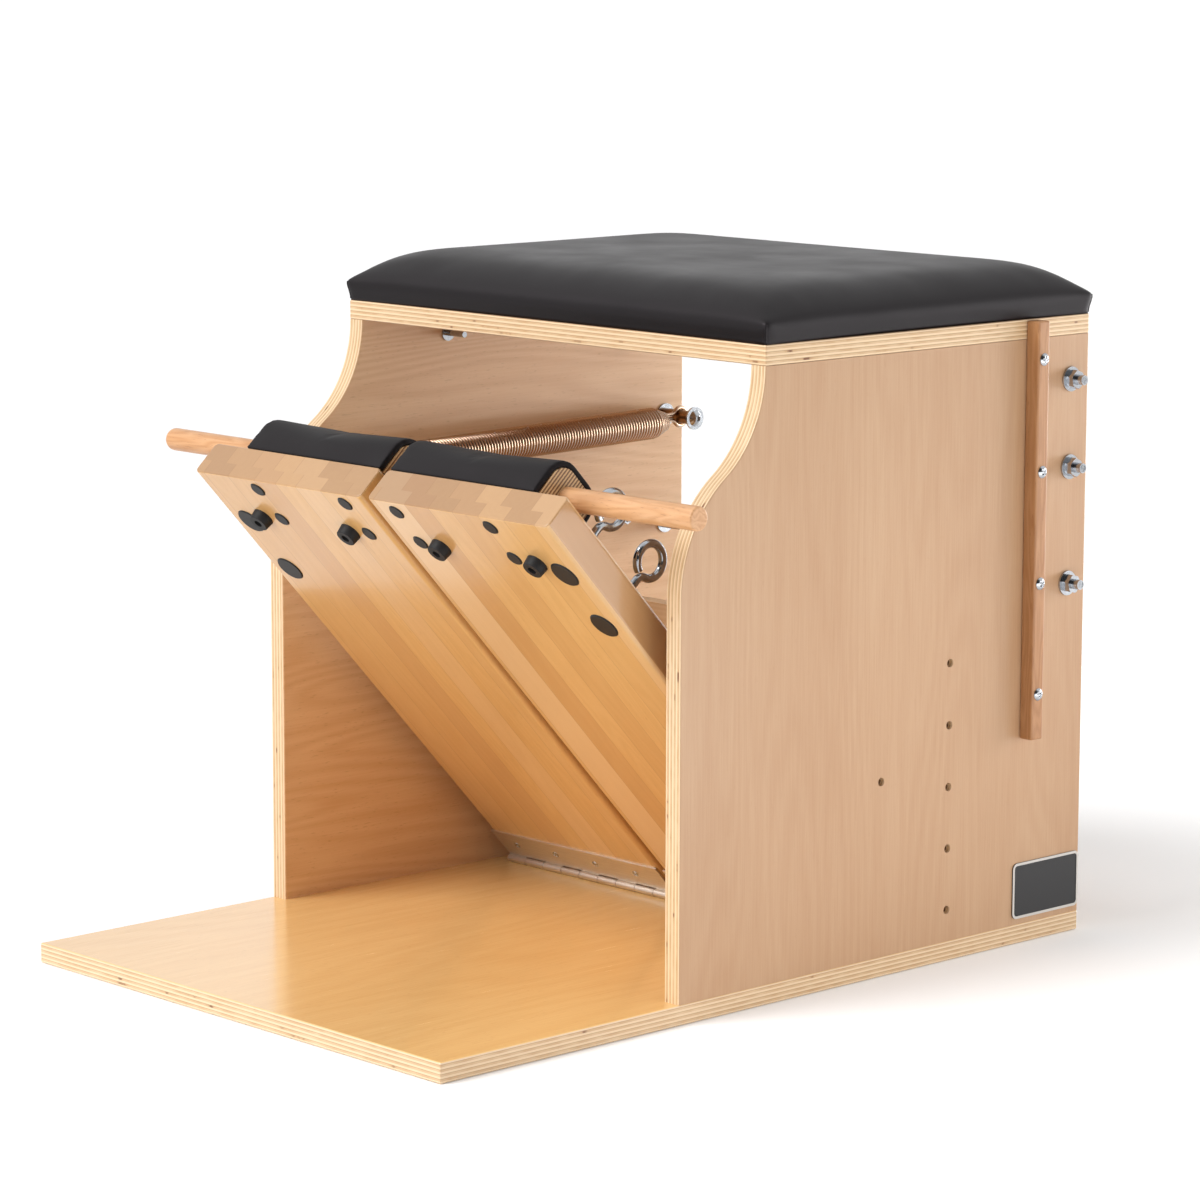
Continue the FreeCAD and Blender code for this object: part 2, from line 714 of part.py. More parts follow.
def arch(name, width, height, shoulder, length, x, bore=None):
    """A bar that is flat on the pedal's back, with straight sides and round shoulders."""
    body = doc.addObject("PartDesign::Body", name)
    sketch = new_sketch(body, "YZ_Plane", f"{name}Sketch")
    back = value(PEDAL_BACK)
    crown = back + value(height)
    middle = value(BOLSTER_S)
    half = value(width) / 2
    radius = value(shoulder)
    up = V(0, 0, 1)
    sketch.addGeometry([
        Part.LineSegment(V(back, middle + half), V(back, middle - half)),
        Part.LineSegment(V(back, middle - half), V(crown - radius, middle - half)),
        Part.ArcOfCircle(Part.Circle(V(crown - radius, middle - half + radius), up, radius), -math.pi / 2, 0),
        Part.LineSegment(V(crown, middle - half + radius), V(crown, middle + half - radius)),
        Part.ArcOfCircle(Part.Circle(V(crown - radius, middle + half - radius), up, radius), 0, math.pi / 2),
        Part.LineSegment(V(crown - radius, middle + half), V(back, middle + half)),
    ], False)
    sketch.addConstraint([
        Sketcher.Constraint("Coincident", 0, 2, 1, 1),
        Sketcher.Constraint("Tangent", 1, 2, 2, 1),
        Sketcher.Constraint("Tangent", 2, 2, 3, 1),
        Sketcher.Constraint("Tangent", 3, 2, 4, 1),
        Sketcher.Constraint("Tangent", 4, 2, 5, 1),
        Sketcher.Constraint("Coincident", 5, 2, 0, 1),
        Sketcher.Constraint("Vertical", 0),
        Sketcher.Constraint("Horizontal", 1),
        Sketcher.Constraint("Vertical", 3),
        Sketcher.Constraint("Horizontal", 5),
        Sketcher.Constraint("Equal", 2, 4),
    ])
    dimension(sketch, "DistanceX", -1, 1, 0, 2, PEDAL_BACK)
    dimension(sketch, "DistanceY", -1, 1, 0, 2, f"{BOLSTER_S} - ({width}) / 2")
    dimension(sketch, "DistanceY", 0, 2, 0, 1, width)
    dimension(sketch, "DistanceX", 0, 2, 3, 1, height)
    dimension(sketch, "Radius", 2, shoulder)
    if bore:
        centre = V(value(DOWEL_N), middle)
        sketch.addGeometry(Part.Circle(centre, up, value(bore)), False)
        dimension(sketch, "DistanceX", -1, 1, 6, 3, DOWEL_N)
        dimension(sketch, "DistanceY", -1, 1, 6, 3, BOLSTER_S)
        dimension(sketch, "Radius", 6, bore)
    extrude(body, sketch, length)
    body.setExpression("Placement", terms(f"placement(vector({x}; 0; 0); rotation({TURNS['+z']}))"))
    return body


core_holes = {}
for side, sign in SIDES.items():
    start = span_start(sign, BOLSTER_INNER, BOLSTER_OUTER)

    bolster_screws, screw_plugs, core_holes[side] = [], [], []
    for offset in (f"{BOLSTER_INNER} + bolster_screw_inner", f"{BOLSTER_OUTER} - bolster_screw_outer"):
        for row in ("+", "-"):
            spot = (f"{sign} * ({offset})", PEDAL_FRONT,
                    f"{BOLSTER_S} {row} (core_width / 2 - bolster_screw_edge)")
            bolster_screws.append(fuse(stack(
                spot, "+y",
                ("bolster_screw_head", "bolster_screw_depth", "screw_head_height"),
                ("bolster_screw_radius", "bolster_screw_depth + weld", "bolster_screw_length"),
            )))
            shank_hole = stack(
                spot, "+y",
                ("bolster_screw_radius + fit_gap", "bolster_screw_depth",
                 "weld + bolster_screw_length + fit_gap"))
            recess = stack(
                spot, "+y",
                ("plug_stem_radius + fit_gap", "-cut_past",
                 "cut_past + bolster_screw_depth + screw_head_height"))
            core_holes[side] += shank_hole
            pedal_holes[side] += shank_hole + recess
            screw_plugs.append(fuse([
                cone("plug_radius", "plug_radius - plug_rise", "plug_rise", spot, "-y"),
                cylinder("plug_stem_radius", "plug_stem + plug_rise / 2",
                         shifted(spot, "+y", "-plug_rise / 2"), "+y"),
            ]))
    node(f"bolster_screws_{side}", on_pedal(group(bolster_screws)))
    node(f"screw_plugs_{side}", on_pedal(group(screw_plugs)))

    core = arch(f"Core{side}", "core_width", "core_height", "core_shoulder", BOLSTER_LENGTH, start,
                "dowel_radius + running_gap")
    node(f"bolster_core_{side}", on_pedal(cut(core, core_holes[side])))
    wrap = arch(f"Wrap{side}", "core_width + 2 * wrap_thickness", "core_height + wrap_thickness",
                "core_shoulder + wrap_thickness", BOLSTER_LENGTH, start)
    hollow = arch(f"Hollow{side}", "core_width + 2 * wrap_gap", "core_height + wrap_gap",
                  "core_shoulder + wrap_gap", f"{BOLSTER_LENGTH} + 2 * cut_past", f"{start} - cut_past")
    node(f"bolster_pad_{side}", on_pedal(cut(wrap, [hollow])))

    bumpers, bumper_screws = [], []
    for offset in (f"{PEDAL_INNER} + bumper_inner", f"{PEDAL_OUTER} - bumper_outer"):
        spot = (f"{sign} * ({offset})", PEDAL_FRONT, f"{PEDAL_TOP} - bumper_drop")
        head_spot = shifted(spot, "-y", "bumper_floor")
        bumper = cone("bumper_radius", "bumper_face_radius", "bumper_height", spot, "-y")
        bumpers.append(cut(bumper, stack(
            head_spot, "-y", ("bumper_recess_radius", 0, "bumper_height"),
            ("bumper_screw_radius + fit_gap", "-bumper_floor - cut_past", "bumper_floor + 2 * cut_past"))))
        bumper_screws.append(fuse([
            dome("bumper_screw_head", "screw_head_height", head_spot, "-y"),
            *stack(head_spot, "+y", ("bumper_screw_radius", "-weld", "bumper_screw_length + weld")),
        ]))
        pedal_holes[side] += stack(
            spot, "+y",
            ("bumper_screw_radius + fit_gap", "-cut_past",
             "cut_past + bumper_screw_length - bumper_floor + fit_gap"))
    node(f"bumpers_{side}", on_pedal(group(bumpers)))
    node(f"bumper_screws_{side}", on_pedal(group(bumper_screws)))

# Wire forms: pipes along arcs, for the eye bolts and the spring

def arc_edge(start, control, end):
    """The arc from start to end whose end tangents meet at the control point."""
    middle = (start + end) * 0.5
    bulge = control - middle
    half = (end - start).Length / 2
    if bulge.Length < 1e-6 * half:
        return Part.LineSegment(start, end).toShape()
    angle = math.atan2(bulge.Length, half)
    top = middle + bulge * (half * math.tan(angle / 2) / bulge.Length)
    return Part.Arc(start, top, end).toShape()


def biarc(start, start_way, end, end_way):
    """Two arcs that leave one point and reach the next along the given directions."""
    chord = end - start
    ways = start_way + end_way
    spread = 2 * (1 - start_way.dot(end_way))
    along = chord.dot(ways)
    if chord.cross(start_way).Length + chord.cross(end_way).Length < 1e-9 * chord.Length:
        return [Part.LineSegment(start, end).toShape()]
    if spread < 1e-9:
        reach = chord.dot(chord) / (2 * along)
    else:
        reach = (math.sqrt(along ** 2 + spread * chord.dot(chord)) - along) / spread
    first = start + start_way * reach
    second = end - end_way * reach
    joint = (first + second) * 0.5
    return [arc_edge(start, first, joint), arc_edge(joint, second, end)]


def wire_path(stations):
    """Edges through stations, each a point and a direction."""
    edges = []
    for (start, start_way), (end, end_way) in zip(stations, stations[1:]):
        edges += biarc(start, start_way, end, end_way)
    return edges


def pipe(stations, radius):
    """A round wire along the stations."""
    path = Part.Wire(wire_path(stations))
    section = Part.Wire(Part.Circle(stations[0][0], stations[0][1], radius).toShape())
    shell = Part.BRepOffsetAPI.MakePipeShell(path)
    shell.add(section)
    shell.build()
    shell.makeSolid()
    return shell.shape()


def eye_bolt(x, drop):
    """A bolt whose end is bent into an eye, with its shank square to the pedal."""
    s = value(f"{PEDAL_TOP} - {drop}")
    centre = value(f"{PEDAL_BACK} + eye_rise")
    radius = value("eye_radius")
    neck = value("eye_neck_radius")
    neck_start = centre - math.sqrt(radius ** 2 + 2 * radius * neck)
    bend = math.atan2(centre - neck_start, neck)
    shank_start = value(f"{PEDAL_FRONT} + nut_plug_stem + eye_end_gap")
    out = V(0, 1, 0)

    join = math.pi / 2 - bend
    eye_start = (
        V(x, centre - radius * math.cos(join), s - radius * math.sin(join)),
        V(0, math.sin(join), -math.cos(join)),
    )
    stations = [(V(x, shank_start, s), out), (V(x, neck_start, s), out), eye_start]
    steps = 4
    sweep = 2 * math.pi - join - math.radians(value("eye_open_angle"))
    for step in range(1, steps + 1):
        a = join + step * sweep / steps
        stations.append((
            V(x, centre - radius * math.cos(a), s - radius * math.sin(a)),
            V(0, math.sin(a), -math.cos(a)),
        ))
    return pipe(stations, value("eye_wire_radius"))


for side, sign in SIDES.items():
    shapes, eye_nuts, nut_plugs = [], [], []
    for drop in ("eye_upper_drop", "eye_lower_drop"):
        shapes.append(eye_bolt(value(f"{sign} * {EYE_X}"), drop))
        spot = (f"{sign} * {EYE_X}", PEDAL_FRONT, f"{PEDAL_TOP} - {drop}")
        bore = "eye_wire_radius + fit_gap"
        seat = shifted(spot, "+y", "eye_recess")
        eye_nuts.append(ring(
            "eye_washer_radius", bore, "eye_washer_thickness",
            shifted(seat, "-y", "eye_washer_thickness"), "+y"))
        eye_nuts.append(nut(
            "eye_nut_radius", bore, "eye_nut_height",
            shifted(seat, "-y", "eye_washer_thickness + eye_nut_height"), "+y"))
        nut_plugs.append(fuse([
            cone("nut_plug_radius", "nut_plug_radius - plug_rise", "plug_rise", spot, "-y"),
            cylinder("nut_plug_stem_radius", "nut_plug_stem + plug_rise / 2",
                     shifted(spot, "+y", "-plug_rise / 2"), "+y"),
        ]))
        pedal_holes[side] += stack(
            spot, "+y",
            ("nut_plug_stem_radius + fit_gap", "-cut_past", "cut_past + eye_recess"),
            (bore, "eye_recess - cut_past", "pedal_thickness - eye_recess + 2 * cut_past"))
    eyes = doc.addObject("Part::Feature", f"EyeBolts{side}")
    eyes.Shape = Part.makeCompound(shapes)
    node(f"eye_bolts_{side}", on_pedal(eyes))
    node(f"eye_nuts_{side}", on_pedal(group(eye_nuts)))
    node(f"nut_plugs_{side}", on_pedal(group(nut_plugs)))

# Pedals and the locking dowel

for side, sign in SIDES.items():
    body, feature = plank(f"Pedal{side}", PEDAL_WIDTH, "pedal_thickness", "pedal_length")
    long_edges = round_edges(body, feature, lambda edge: runs_along(edge, V(0, 0, 1)), "pedal_round")
    round_edges(body, long_edges, lambda edge: edge.BoundBox.ZLength < 1e-6, "edge_round")
    place(body, f"{sign} * ({PEDAL_INNER} + {PEDAL_WIDTH} / 2)", f"{PEDAL_FRONT} + pedal_thickness / 2",
          "pedal_start")
    node(f"pedal_{side}", on_pedal(cut(body, pedal_holes[side])))

dowel = doc.addObject("PartDesign::Body", "Dowel")
dowel_sketch = new_sketch(dowel, "YZ_Plane", "DowelSketch")
dowel_centre = V(value(DOWEL_N), value(BOLSTER_S))
dowel_sketch.addGeometry(Part.Circle(dowel_centre, V(0, 0, 1), value("dowel_radius")), False)
dimension(dowel_sketch, "DistanceX", -1, 1, 0, 3, DOWEL_N)
dimension(dowel_sketch, "DistanceY", -1, 1, 0, 3, BOLSTER_S)
dimension(dowel_sketch, "Radius", 0, "dowel_radius")
dowel_pad = extrude(dowel, dowel_sketch, "dowel_length")


def at_start(edge):
    return edge.BoundBox.XMax < 1


dowel_nose = round_edges(dowel, dowel_pad, at_start, "dowel_nose")
round_edges(dowel, dowel_nose, lambda edge: edge.BoundBox.XMin > value("dowel_length") - 1, "dowel_end_round")
node("locking_dowel", on_pedal(dowel, "-dowel_length / 2"))

# The spring: a swivel loop round the post, and a coil with drawn-in ends and a hook through the eye

def spring_ends():
    """The middle of the loop at the post and of the hook at the eye."""
    lean = math.radians(value("pedal_lean_angle"))
    s = value(f"{PEDAL_TOP} - eye_upper_drop")
    n = value(f"{PEDAL_BACK} + eye_rise")
    eye = V(
        value(f"-{EYE_X}"),
        value(HINGE_Y) - s * math.sin(lean) + n * math.cos(lean),
        value(HINGE_Z) + s * math.cos(lean) + n * math.sin(lean),
    )
    post = V(
        value("-base_width / 2 + panel_thickness + post_washer_thickness + post_sleeve_length / 2"),
        value(f"{REAR} - post_inset"),
        value(f"{SEAT_UNDER} - post_mid_drop"),
    )
    seat = value("spring_eye_hook_radius - spring_wire_radius - eye_wire_radius - spring_eye_gap")
    way = (post - eye).normalize()
    return post, eye + way * (value("eye_radius") + seat)


# Both are drawn in the spring's own frame: z from the post to the eye, x along the post.

SPRING_PITCH = "(2 * spring_wire_radius + spring_coil_gap)"
SPRING_TIP = "(3 * spring_wire_radius + spring_leg_gap / 2 + spring_tip_gap)"


def loop_stations():
    """A loop round the post's sleeve whose two legs flare inside the coil's drawn-in end."""
    radius = value("post_sleeve_radius + soft_gap + spring_wire_radius")
    leg = value("spring_wire_radius + spring_leg_gap / 2")
    reach = value("spring_loop_reach")
    neck = value("spring_loop_reach - spring_wire_radius")
    inside = reach + value(f"spring_cone_turns * {SPRING_PITCH} + spring_hold_gap")
    flare = value("spring_radius - 2 * spring_wire_radius - spring_flare_gap")
    tip = inside + flare - leg
    return [
        (V(0, flare, tip), V(0, -1, 0)),
        (V(0, leg, inside), V(0, 0, -1)),
        (V(0, leg, neck), V(0, 0, -1)),
        (V(0, radius, 0), V(0, 0, -1)),
        (V(0, 0, -radius), V(0, -1, 0)),
        (V(0, -radius, 0), V(0, 0, 1)),
        (V(0, -leg, neck), V(0, 0, 1)),
        (V(0, -leg, inside), V(0, 0, 1)),
        (V(0, -flare, tip), V(0, -1, 0)),
    ]


def coil_stations(length):
    """Cone, body and cone in half turns, then the hook through the eye."""
    eye_hook = value("spring_eye_hook_radius")
    start = value("spring_loop_reach")
    tip = value(SPRING_TIP)
    cone_turns = value("spring_cone_turns")
    wound = length - start - value("spring_hook_reach")
    turns = math.floor(wound / value(SPRING_PITCH)) - 0.25
    pitch = wound / turns

    def coil(turn):
        """A point on the coil, by turns from its start."""
        share = min(1, turn / cone_turns, (turns - turn) / cone_turns)
        radius = tip + (value("spring_radius") - tip) * share
        angle = math.pi / 2 + 2 * math.pi * turn
        return V(radius * math.cos(angle), radius * math.sin(angle), start + pitch * turn)

    def coil_way(turn):
        nudge = 1e-4
        return (coil(turn + nudge) - coil(turn - nudge)).normalize()

    stations = []
    for turn in [half / 2 for half in range(int(turns * 2) + 1)] + [turns]:
        stations.append((coil(turn), coil_way(turn)))
    for angle in (0, math.pi / 2, math.pi, math.radians(225)):
        point = V(eye_hook * math.cos(angle), 0, length + eye_hook * math.sin(angle))
        stations.append((point, V(-math.sin(angle), 0, math.cos(angle))))
    return stations


def least_gap(edges, wire_radius, apart):
    """The least gap of a wire to itself, measured on points at least a stretch of wire apart."""
    step = wire_radius
    points, runs = [], []
    run = 0
    for edge in edges:
        count = max(2, int(edge.Length / step))
        for index in range(count):
            points.append(edge.valueAt(edge.FirstParameter
                                       + (edge.LastParameter - edge.FirstParameter) * index / count))
            runs.append(run + edge.Length * index / count)
        run += edge.Length
    window = int(3 * apart / step)
    least = math.inf
    for i, point in enumerate(points):
        for j in range(i + 1, min(i + window, len(points))):
            if runs[j] - runs[i] >= apart:
                least = min(least, point.distanceToPoint(points[j]))
    return least - 2 * wire_radius


post_end, eye_end = spring_ends()
spring_axis = eye_end - post_end
spring_z = V(spring_axis).normalize()
spring_x = (V(1, 0, 0) - spring_z * spring_z.x).normalize()
spring_turn = FreeCAD.Rotation(spring_x, spring_z.cross(spring_x), spring_z, "ZXY")
for label, stations in (
    ("spring_loop", loop_stations()),
    ("pedal_spring", coil_stations(spring_axis.Length)),
):
    item = doc.addObject("Part::Feature", "SpringWire")
    item.Shape = pipe(stations, value("spring_wire_radius"))
    item.Placement = FreeCAD.Placement(post_end, spring_turn)
    node(label, item)
    wire_gap = least_gap(
        wire_path(stations), value("spring_wire_radius"), 1.4 * math.pi * value(SPRING_TIP))
    print(f"{label}: least gap to itself {wire_gap:.2f} mm")

# Seat pad: a crowned cushion with drawn-in sides, hollow below for its board

def pad_section(inset, height):
    """A rounded outline whose sides are drawn in between the corners."""
    half_x = value("base_width / 2 + pad_overhang") - inset
    half_y = value(f"{SEAT_DEPTH} / 2 + pad_overhang") - inset
    middle = value(f"{REAR} - {SEAT_DEPTH} / 2")
    z = value(SEAT_TOP) + height
    corner = value("pad_corner")
    draw = value("pad_draw_in")
    slant = corner * (1 - math.sqrt(0.5))
    edges = []
    quadrants = [(1, 1), (-1, 1), (-1, -1), (1, -1)]
    for index, (sx, sy) in enumerate(quadrants):
        first = V(sx * half_x, middle + sy * (half_y - corner), z)
        second = V(sx * (half_x - corner), middle + sy * half_y, z)
        round_middle = V(sx * (half_x - slant), middle + sy * (half_y - slant), z)
        if sx * sy < 0:
            first, second = second, first
        edges.append(Part.Arc(first, round_middle, second).toShape())
        nx, ny = quadrants[(index + 1) % 4]
        if ny == sy:
            end = V(nx * (half_x - corner), second.y, z)
            dip = V(0, second.y - sy * draw, z)
        else:
            end = V(second.x, middle + ny * (half_y - corner), z)
            dip = V(second.x - sx * draw, middle, z)
        edges.append(Part.Arc(second, dip, end).toShape())
    return Part.Wire(edges)


wall = value("pad_wall")
bevel = value("pad_bevel")
rise = value("pad_height") - wall
crown = value("pad_crown")
tuck = value("pad_tuck")
sections = [
    (tuck, 0),
    (tuck * 0.35, wall * 0.45),
    (0, wall),
    (bevel * 0.18, wall + rise * 0.32),
    (bevel * 0.45, wall + rise * 0.66),
    (bevel, wall + rise),
    (bevel * 1.8, wall + rise + crown * 0.9),
    (bevel * 2.8, wall + rise + crown),
]
cushion = Part.makeLoft([pad_section(*section) for section in sections], True, True)
pad_board_length = "base_width - 2 * pad_board_inset"
pad_board_width = f"{SEAT_DEPTH} - 2 * pad_board_inset"
pad_board_y = f"{REAR} - {SEAT_DEPTH} / 2"
hollow = Part.makeBox(
    value(f"{pad_board_length} + 2 * fit_gap"),
    value(f"{pad_board_width} + 2 * fit_gap"),
    value("pad_board_thickness + fit_gap"),
    V(
        value(f"-({pad_board_length}) / 2 - fit_gap"),
        value(f"{pad_board_y} - ({pad_board_width}) / 2 - fit_gap"),
        value(SEAT_TOP),
    ),
)
pad = doc.addObject("Part::Feature", "SeatPad")
pad.Shape = cushion.cut(hollow)
node("seat_pad", pad)

# Boards of the frame

base_body = rounded_plank("Base", "base_width", "base_depth", "base_thickness", "edge_round")
node("base_board", cut(base_body, base_holes))

seat_body = rounded_plank("Seat", "base_width", SEAT_DEPTH, "seat_thickness", "edge_round")
place(seat_body, 0, f"{REAR} - {SEAT_DEPTH} / 2", SEAT_UNDER)
node("seat_board", cut(seat_body, seat_holes))

pad_board_body, _ = plank("PadBoard", pad_board_length, pad_board_width, "pad_board_thickness")
place(pad_board_body, 0, pad_board_y, SEAT_TOP)
node("pad_board", cut(pad_board_body, pad_board_holes))

cross_body, _ = plank("Cross", f"2 * {INNER_X}", "cross_thickness", "cross_height")
place(cross_body, 0, f"{REAR} - {CROSS_INSET}", "base_thickness")
node("cross_panel", cut(cross_body, cross_holes))

rail = cylinder("rail_radius", f"2 * {INNER_X}", (f"-{INNER_X}", f"{REAR} - rail_inset", "rail_height"), "+x")
node("stop_rail", cut(rail, rail_holes))

for side, sign in SIDES.items():
    panel = side_panel(f"Panel{side}")
    place(panel, span_start(sign, INNER_X, "base_width / 2"))
    node(f"side_panel_{side}", cut(panel, panel_holes[side]))

    batten = rounded_plank(
        f"Batten{side}", "batten_depth", "batten_width", "batten_length", "batten_round")
    place(batten, side_x(sign, "-batten_depth / 2"), f"{REAR} - batten_inset", BATTEN_BOTTOM)
    node(f"batten_{side}", cut(batten, batten_holes[side]))

# Blank plate on the right panel's outer face

plate_body, plate_feature = plank("Plate", "plate_thickness", "plate_length", "plate_height")
round_edges(plate_body, plate_feature, lambda edge: runs_along(edge, V(1, 0, 0)), "plate_corner")
plate_y = f"{REAR} - plate_inset - plate_length / 2"
place(plate_body, side_x(1, "-plate_thickness / 2"), plate_y, "base_thickness + plate_rise")
well_body, well_feature = plank(
    "PlateWell", "plate_thickness", "plate_length - 2 * plate_rim", "plate_height - 2 * plate_rim")
round_edges(well_body, well_feature, lambda edge: runs_along(edge, V(1, 0, 0)), "plate_corner - plate_rim")
place(well_body, side_x(1, "-1.5 * plate_thickness + plate_rim_height"), plate_y,
      "base_thickness + plate_rise + plate_rim")
node("blank_plate", cut(plate_body, [well_body]))

# Groups of like fasteners

node("panel_screws", group(panel_screws))
node("base_screws", group(base_screws))
node("seat_board_screws", group(seat_screws))
node("pad_screws", group(pad_screws))
node("batten_bolts", group(batten_bolts))
node("batten_nuts", group(batten_nuts))
for part_name, parts in post_parts.items():
    node(f"post_{part_name}", group(parts))

# Check every object, then write each piece

doc.recompute()
failed = [item.Name for item in doc.Objects if {"Invalid", "Error"} & set(item.State)]
if failed:
    raise RuntimeError(f"these objects failed: {failed}")
for label, item in nodes.items():
    if item.Shape.isNull() or not item.Shape.isValid() or not item.Shape.Solids:
        raise RuntimeError(f"{label} has no valid solid")

os.makedirs("parts", exist_ok=True)
for label, item in nodes.items():
    item.Shape.exportStep(f"parts/{label}.step")
print(f"{len(nodes)} pieces, {sum(len(item.Shape.Solids) for item in nodes.values())} solids")
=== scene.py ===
"""Dresses the pilates chair: pads, spring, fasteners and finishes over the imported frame."""

import json
import logging
import math
from dataclasses import dataclass
from enum import Enum
from typing import Iterable, Optional, Sequence, Union

import bmesh
import bpy
from bpy.types import Material, Mesh, Node, NodeSocket, NodeTree, Object
from mathutils import Matrix, Vector
from mathutils.bvhtree import BVHTree

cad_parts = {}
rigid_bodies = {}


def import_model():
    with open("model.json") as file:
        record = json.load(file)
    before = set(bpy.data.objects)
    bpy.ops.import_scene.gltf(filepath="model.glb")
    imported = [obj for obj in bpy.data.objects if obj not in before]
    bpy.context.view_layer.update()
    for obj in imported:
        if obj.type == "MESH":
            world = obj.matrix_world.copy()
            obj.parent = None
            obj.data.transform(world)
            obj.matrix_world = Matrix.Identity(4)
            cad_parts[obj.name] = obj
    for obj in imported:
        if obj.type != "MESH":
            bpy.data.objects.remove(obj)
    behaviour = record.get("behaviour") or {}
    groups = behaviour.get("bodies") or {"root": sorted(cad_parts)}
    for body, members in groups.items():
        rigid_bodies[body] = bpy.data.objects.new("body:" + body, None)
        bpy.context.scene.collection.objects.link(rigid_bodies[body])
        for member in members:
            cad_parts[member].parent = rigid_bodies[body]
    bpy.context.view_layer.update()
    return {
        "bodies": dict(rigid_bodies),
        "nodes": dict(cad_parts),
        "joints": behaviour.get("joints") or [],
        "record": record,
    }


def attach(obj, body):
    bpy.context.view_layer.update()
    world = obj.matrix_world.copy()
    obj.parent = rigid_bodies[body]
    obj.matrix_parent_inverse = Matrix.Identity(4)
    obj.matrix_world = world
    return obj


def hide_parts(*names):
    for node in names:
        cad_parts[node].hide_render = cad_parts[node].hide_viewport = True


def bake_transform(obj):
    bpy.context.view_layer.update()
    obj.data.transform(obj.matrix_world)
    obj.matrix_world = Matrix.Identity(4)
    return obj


log = logging.getLogger("pilates_chair")

Source = Union[Node, NodeSocket]
Pair = tuple[float, float]
Triple = tuple[float, float, float]

MM = 0.001
LEAN = math.radians(43)
HINGE_Y = 149.0
HINGE_Z = 23.0
SIDES = {"left": -1, "right": 1}
IMAGE_SIDE = 1200
WHITE = (1, 1, 1, 1)


class Axis(Enum):
    """The frame's axes, as places in a vector."""

    X = 0
    Y = 1
    Z = 2


# Small helpers


def linear(code: str) -> tuple[float, float, float, float]:
    """Turns an sRGB hex colour to linear light.

    Args:
        code: six hex digits, with or without a hash sign.

    Returns:
        Red, green, blue and an alpha of one.
    """
    digits = code.lstrip("#")
    values = [int(digits[i:i + 2], 16) / 255 for i in (0, 2, 4)]
    red, green, blue = [v / 12.92 if v <= 0.04045 else ((v + 0.055) / 1.055) ** 2.4 for v in values]
    return red, green, blue, 1.0


def feed(tree: NodeTree, node: Node, inputs: dict) -> None:
    """Sets or links a node's inputs.

    Args:
        tree: the tree that holds the node.
        node: the node.
        inputs: socket name or place to a value, or to the socket or node that feeds it.
    """
    for key, value in inputs.items():
        if isinstance(value, Node):
            value = next(output for output in value.outputs if output.enabled)
        if isinstance(value, NodeSocket):
            tree.links.new(value, node.inputs[key])
        else:
            node.inputs[key].default_value = value


def add_node(tree: NodeTree, kind: str, inputs: Optional[dict] = None, **settings: object) -> Node:
    """Adds one node with its settings, values and links.

    Args:
        tree: the tree that gets the node.
        kind: the node's type name.
        inputs: what goes into its sockets, as for feed.
        settings: the node's own properties.

    Returns:
        The new node.
    """
    node = tree.nodes.new(kind)
    for name, value in settings.items():
        setattr(node, name, value)
    feed(tree, node, inputs or {})
    return node


def pedal_way(n: float, s: float) -> Vector:
    """Turns a direction out of the pedal's back and up the pedal into the chair's frame."""
    return Vector((0, n * math.cos(LEAN) - s * math.sin(LEAN), n * math.sin(LEAN) + s * math.cos(LEAN)))


def on_pedal(x: float, n: float, s: float) -> Vector:
    """Gives a point on a pedal in the chair's frame.

    Args:
        x: across the chair, in mm.
        n: out of the pedal's back, in mm from the hinge axis.
        s: up the pedal, in mm from the hinge axis.

    Returns:
        The point in metres.
    """
    return (Vector((x, HINGE_Y, HINGE_Z)) + pedal_way(n, s)) * MM


def link_object(name: str, data: bpy.types.ID) -> Object:
    """Puts new data into the scene as an object at the origin.

    Args:
        name: the object's name.
        data: its mesh, curve, light or camera.

    Returns:
        The object.
    """
    item = bpy.data.objects.new(name, data)
    bpy.context.scene.collection.objects.link(item)
    return item


def settled_mesh(item: Object, name: str) -> Mesh:
    """Makes a plain mesh of an object with its modifiers applied.

    Args:
        item: the object.
        name: the mesh's name.

    Returns:
        The mesh.
    """
    bpy.context.view_layer.update()
    graph = bpy.context.evaluated_depsgraph_get()
    mesh = bpy.data.meshes.new_from_object(item.evaluated_get(graph), depsgraph=graph)
    mesh.name = name
    return mesh


def settle(item: Object) -> None:
    """Applies an object's modifiers to its mesh.

    Args:
        item: the object.
    """
    mesh = settled_mesh(item, item.name)
    item.modifiers.clear()
    old = item.data
    item.data = mesh
    bpy.data.meshes.remove(old)


def finished(shape: bmesh.types.BMesh, name: str) -> Mesh:
    """Turns a new shape's faces outwards and makes it a mesh.

    Args:
        shape: the shape, which is freed.
        name: the mesh's name.

    Returns:
        The mesh.
    """
    bmesh.ops.recalc_face_normals(shape, faces=shape.faces)
    mesh = bpy.data.meshes.new(name)
    shape.to_mesh(mesh)
    shape.free()
    return mesh


def surface(mesh: Mesh) -> BVHTree:
    """Makes a mesh ready for rays and nearest points."""
    return BVHTree.FromPolygons(
        [vert.co.copy() for vert in mesh.vertices], [tuple(face.vertices) for face in mesh.polygons])


def paint(item: Object, material: Material) -> None:
    """Gives every material slot of an object one finish.

    Args:
        item: the object.
        material: the finish.
    """
    if not item.material_slots:
        item.data.materials.append(material)
    for slot in item.material_slots:
        slot.material = material


def smooth(mesh: Mesh) -> None:
    """Shades a mesh smooth."""
    mesh.polygons.foreach_set("use_smooth", [True] * len(mesh.polygons))


# Finishes


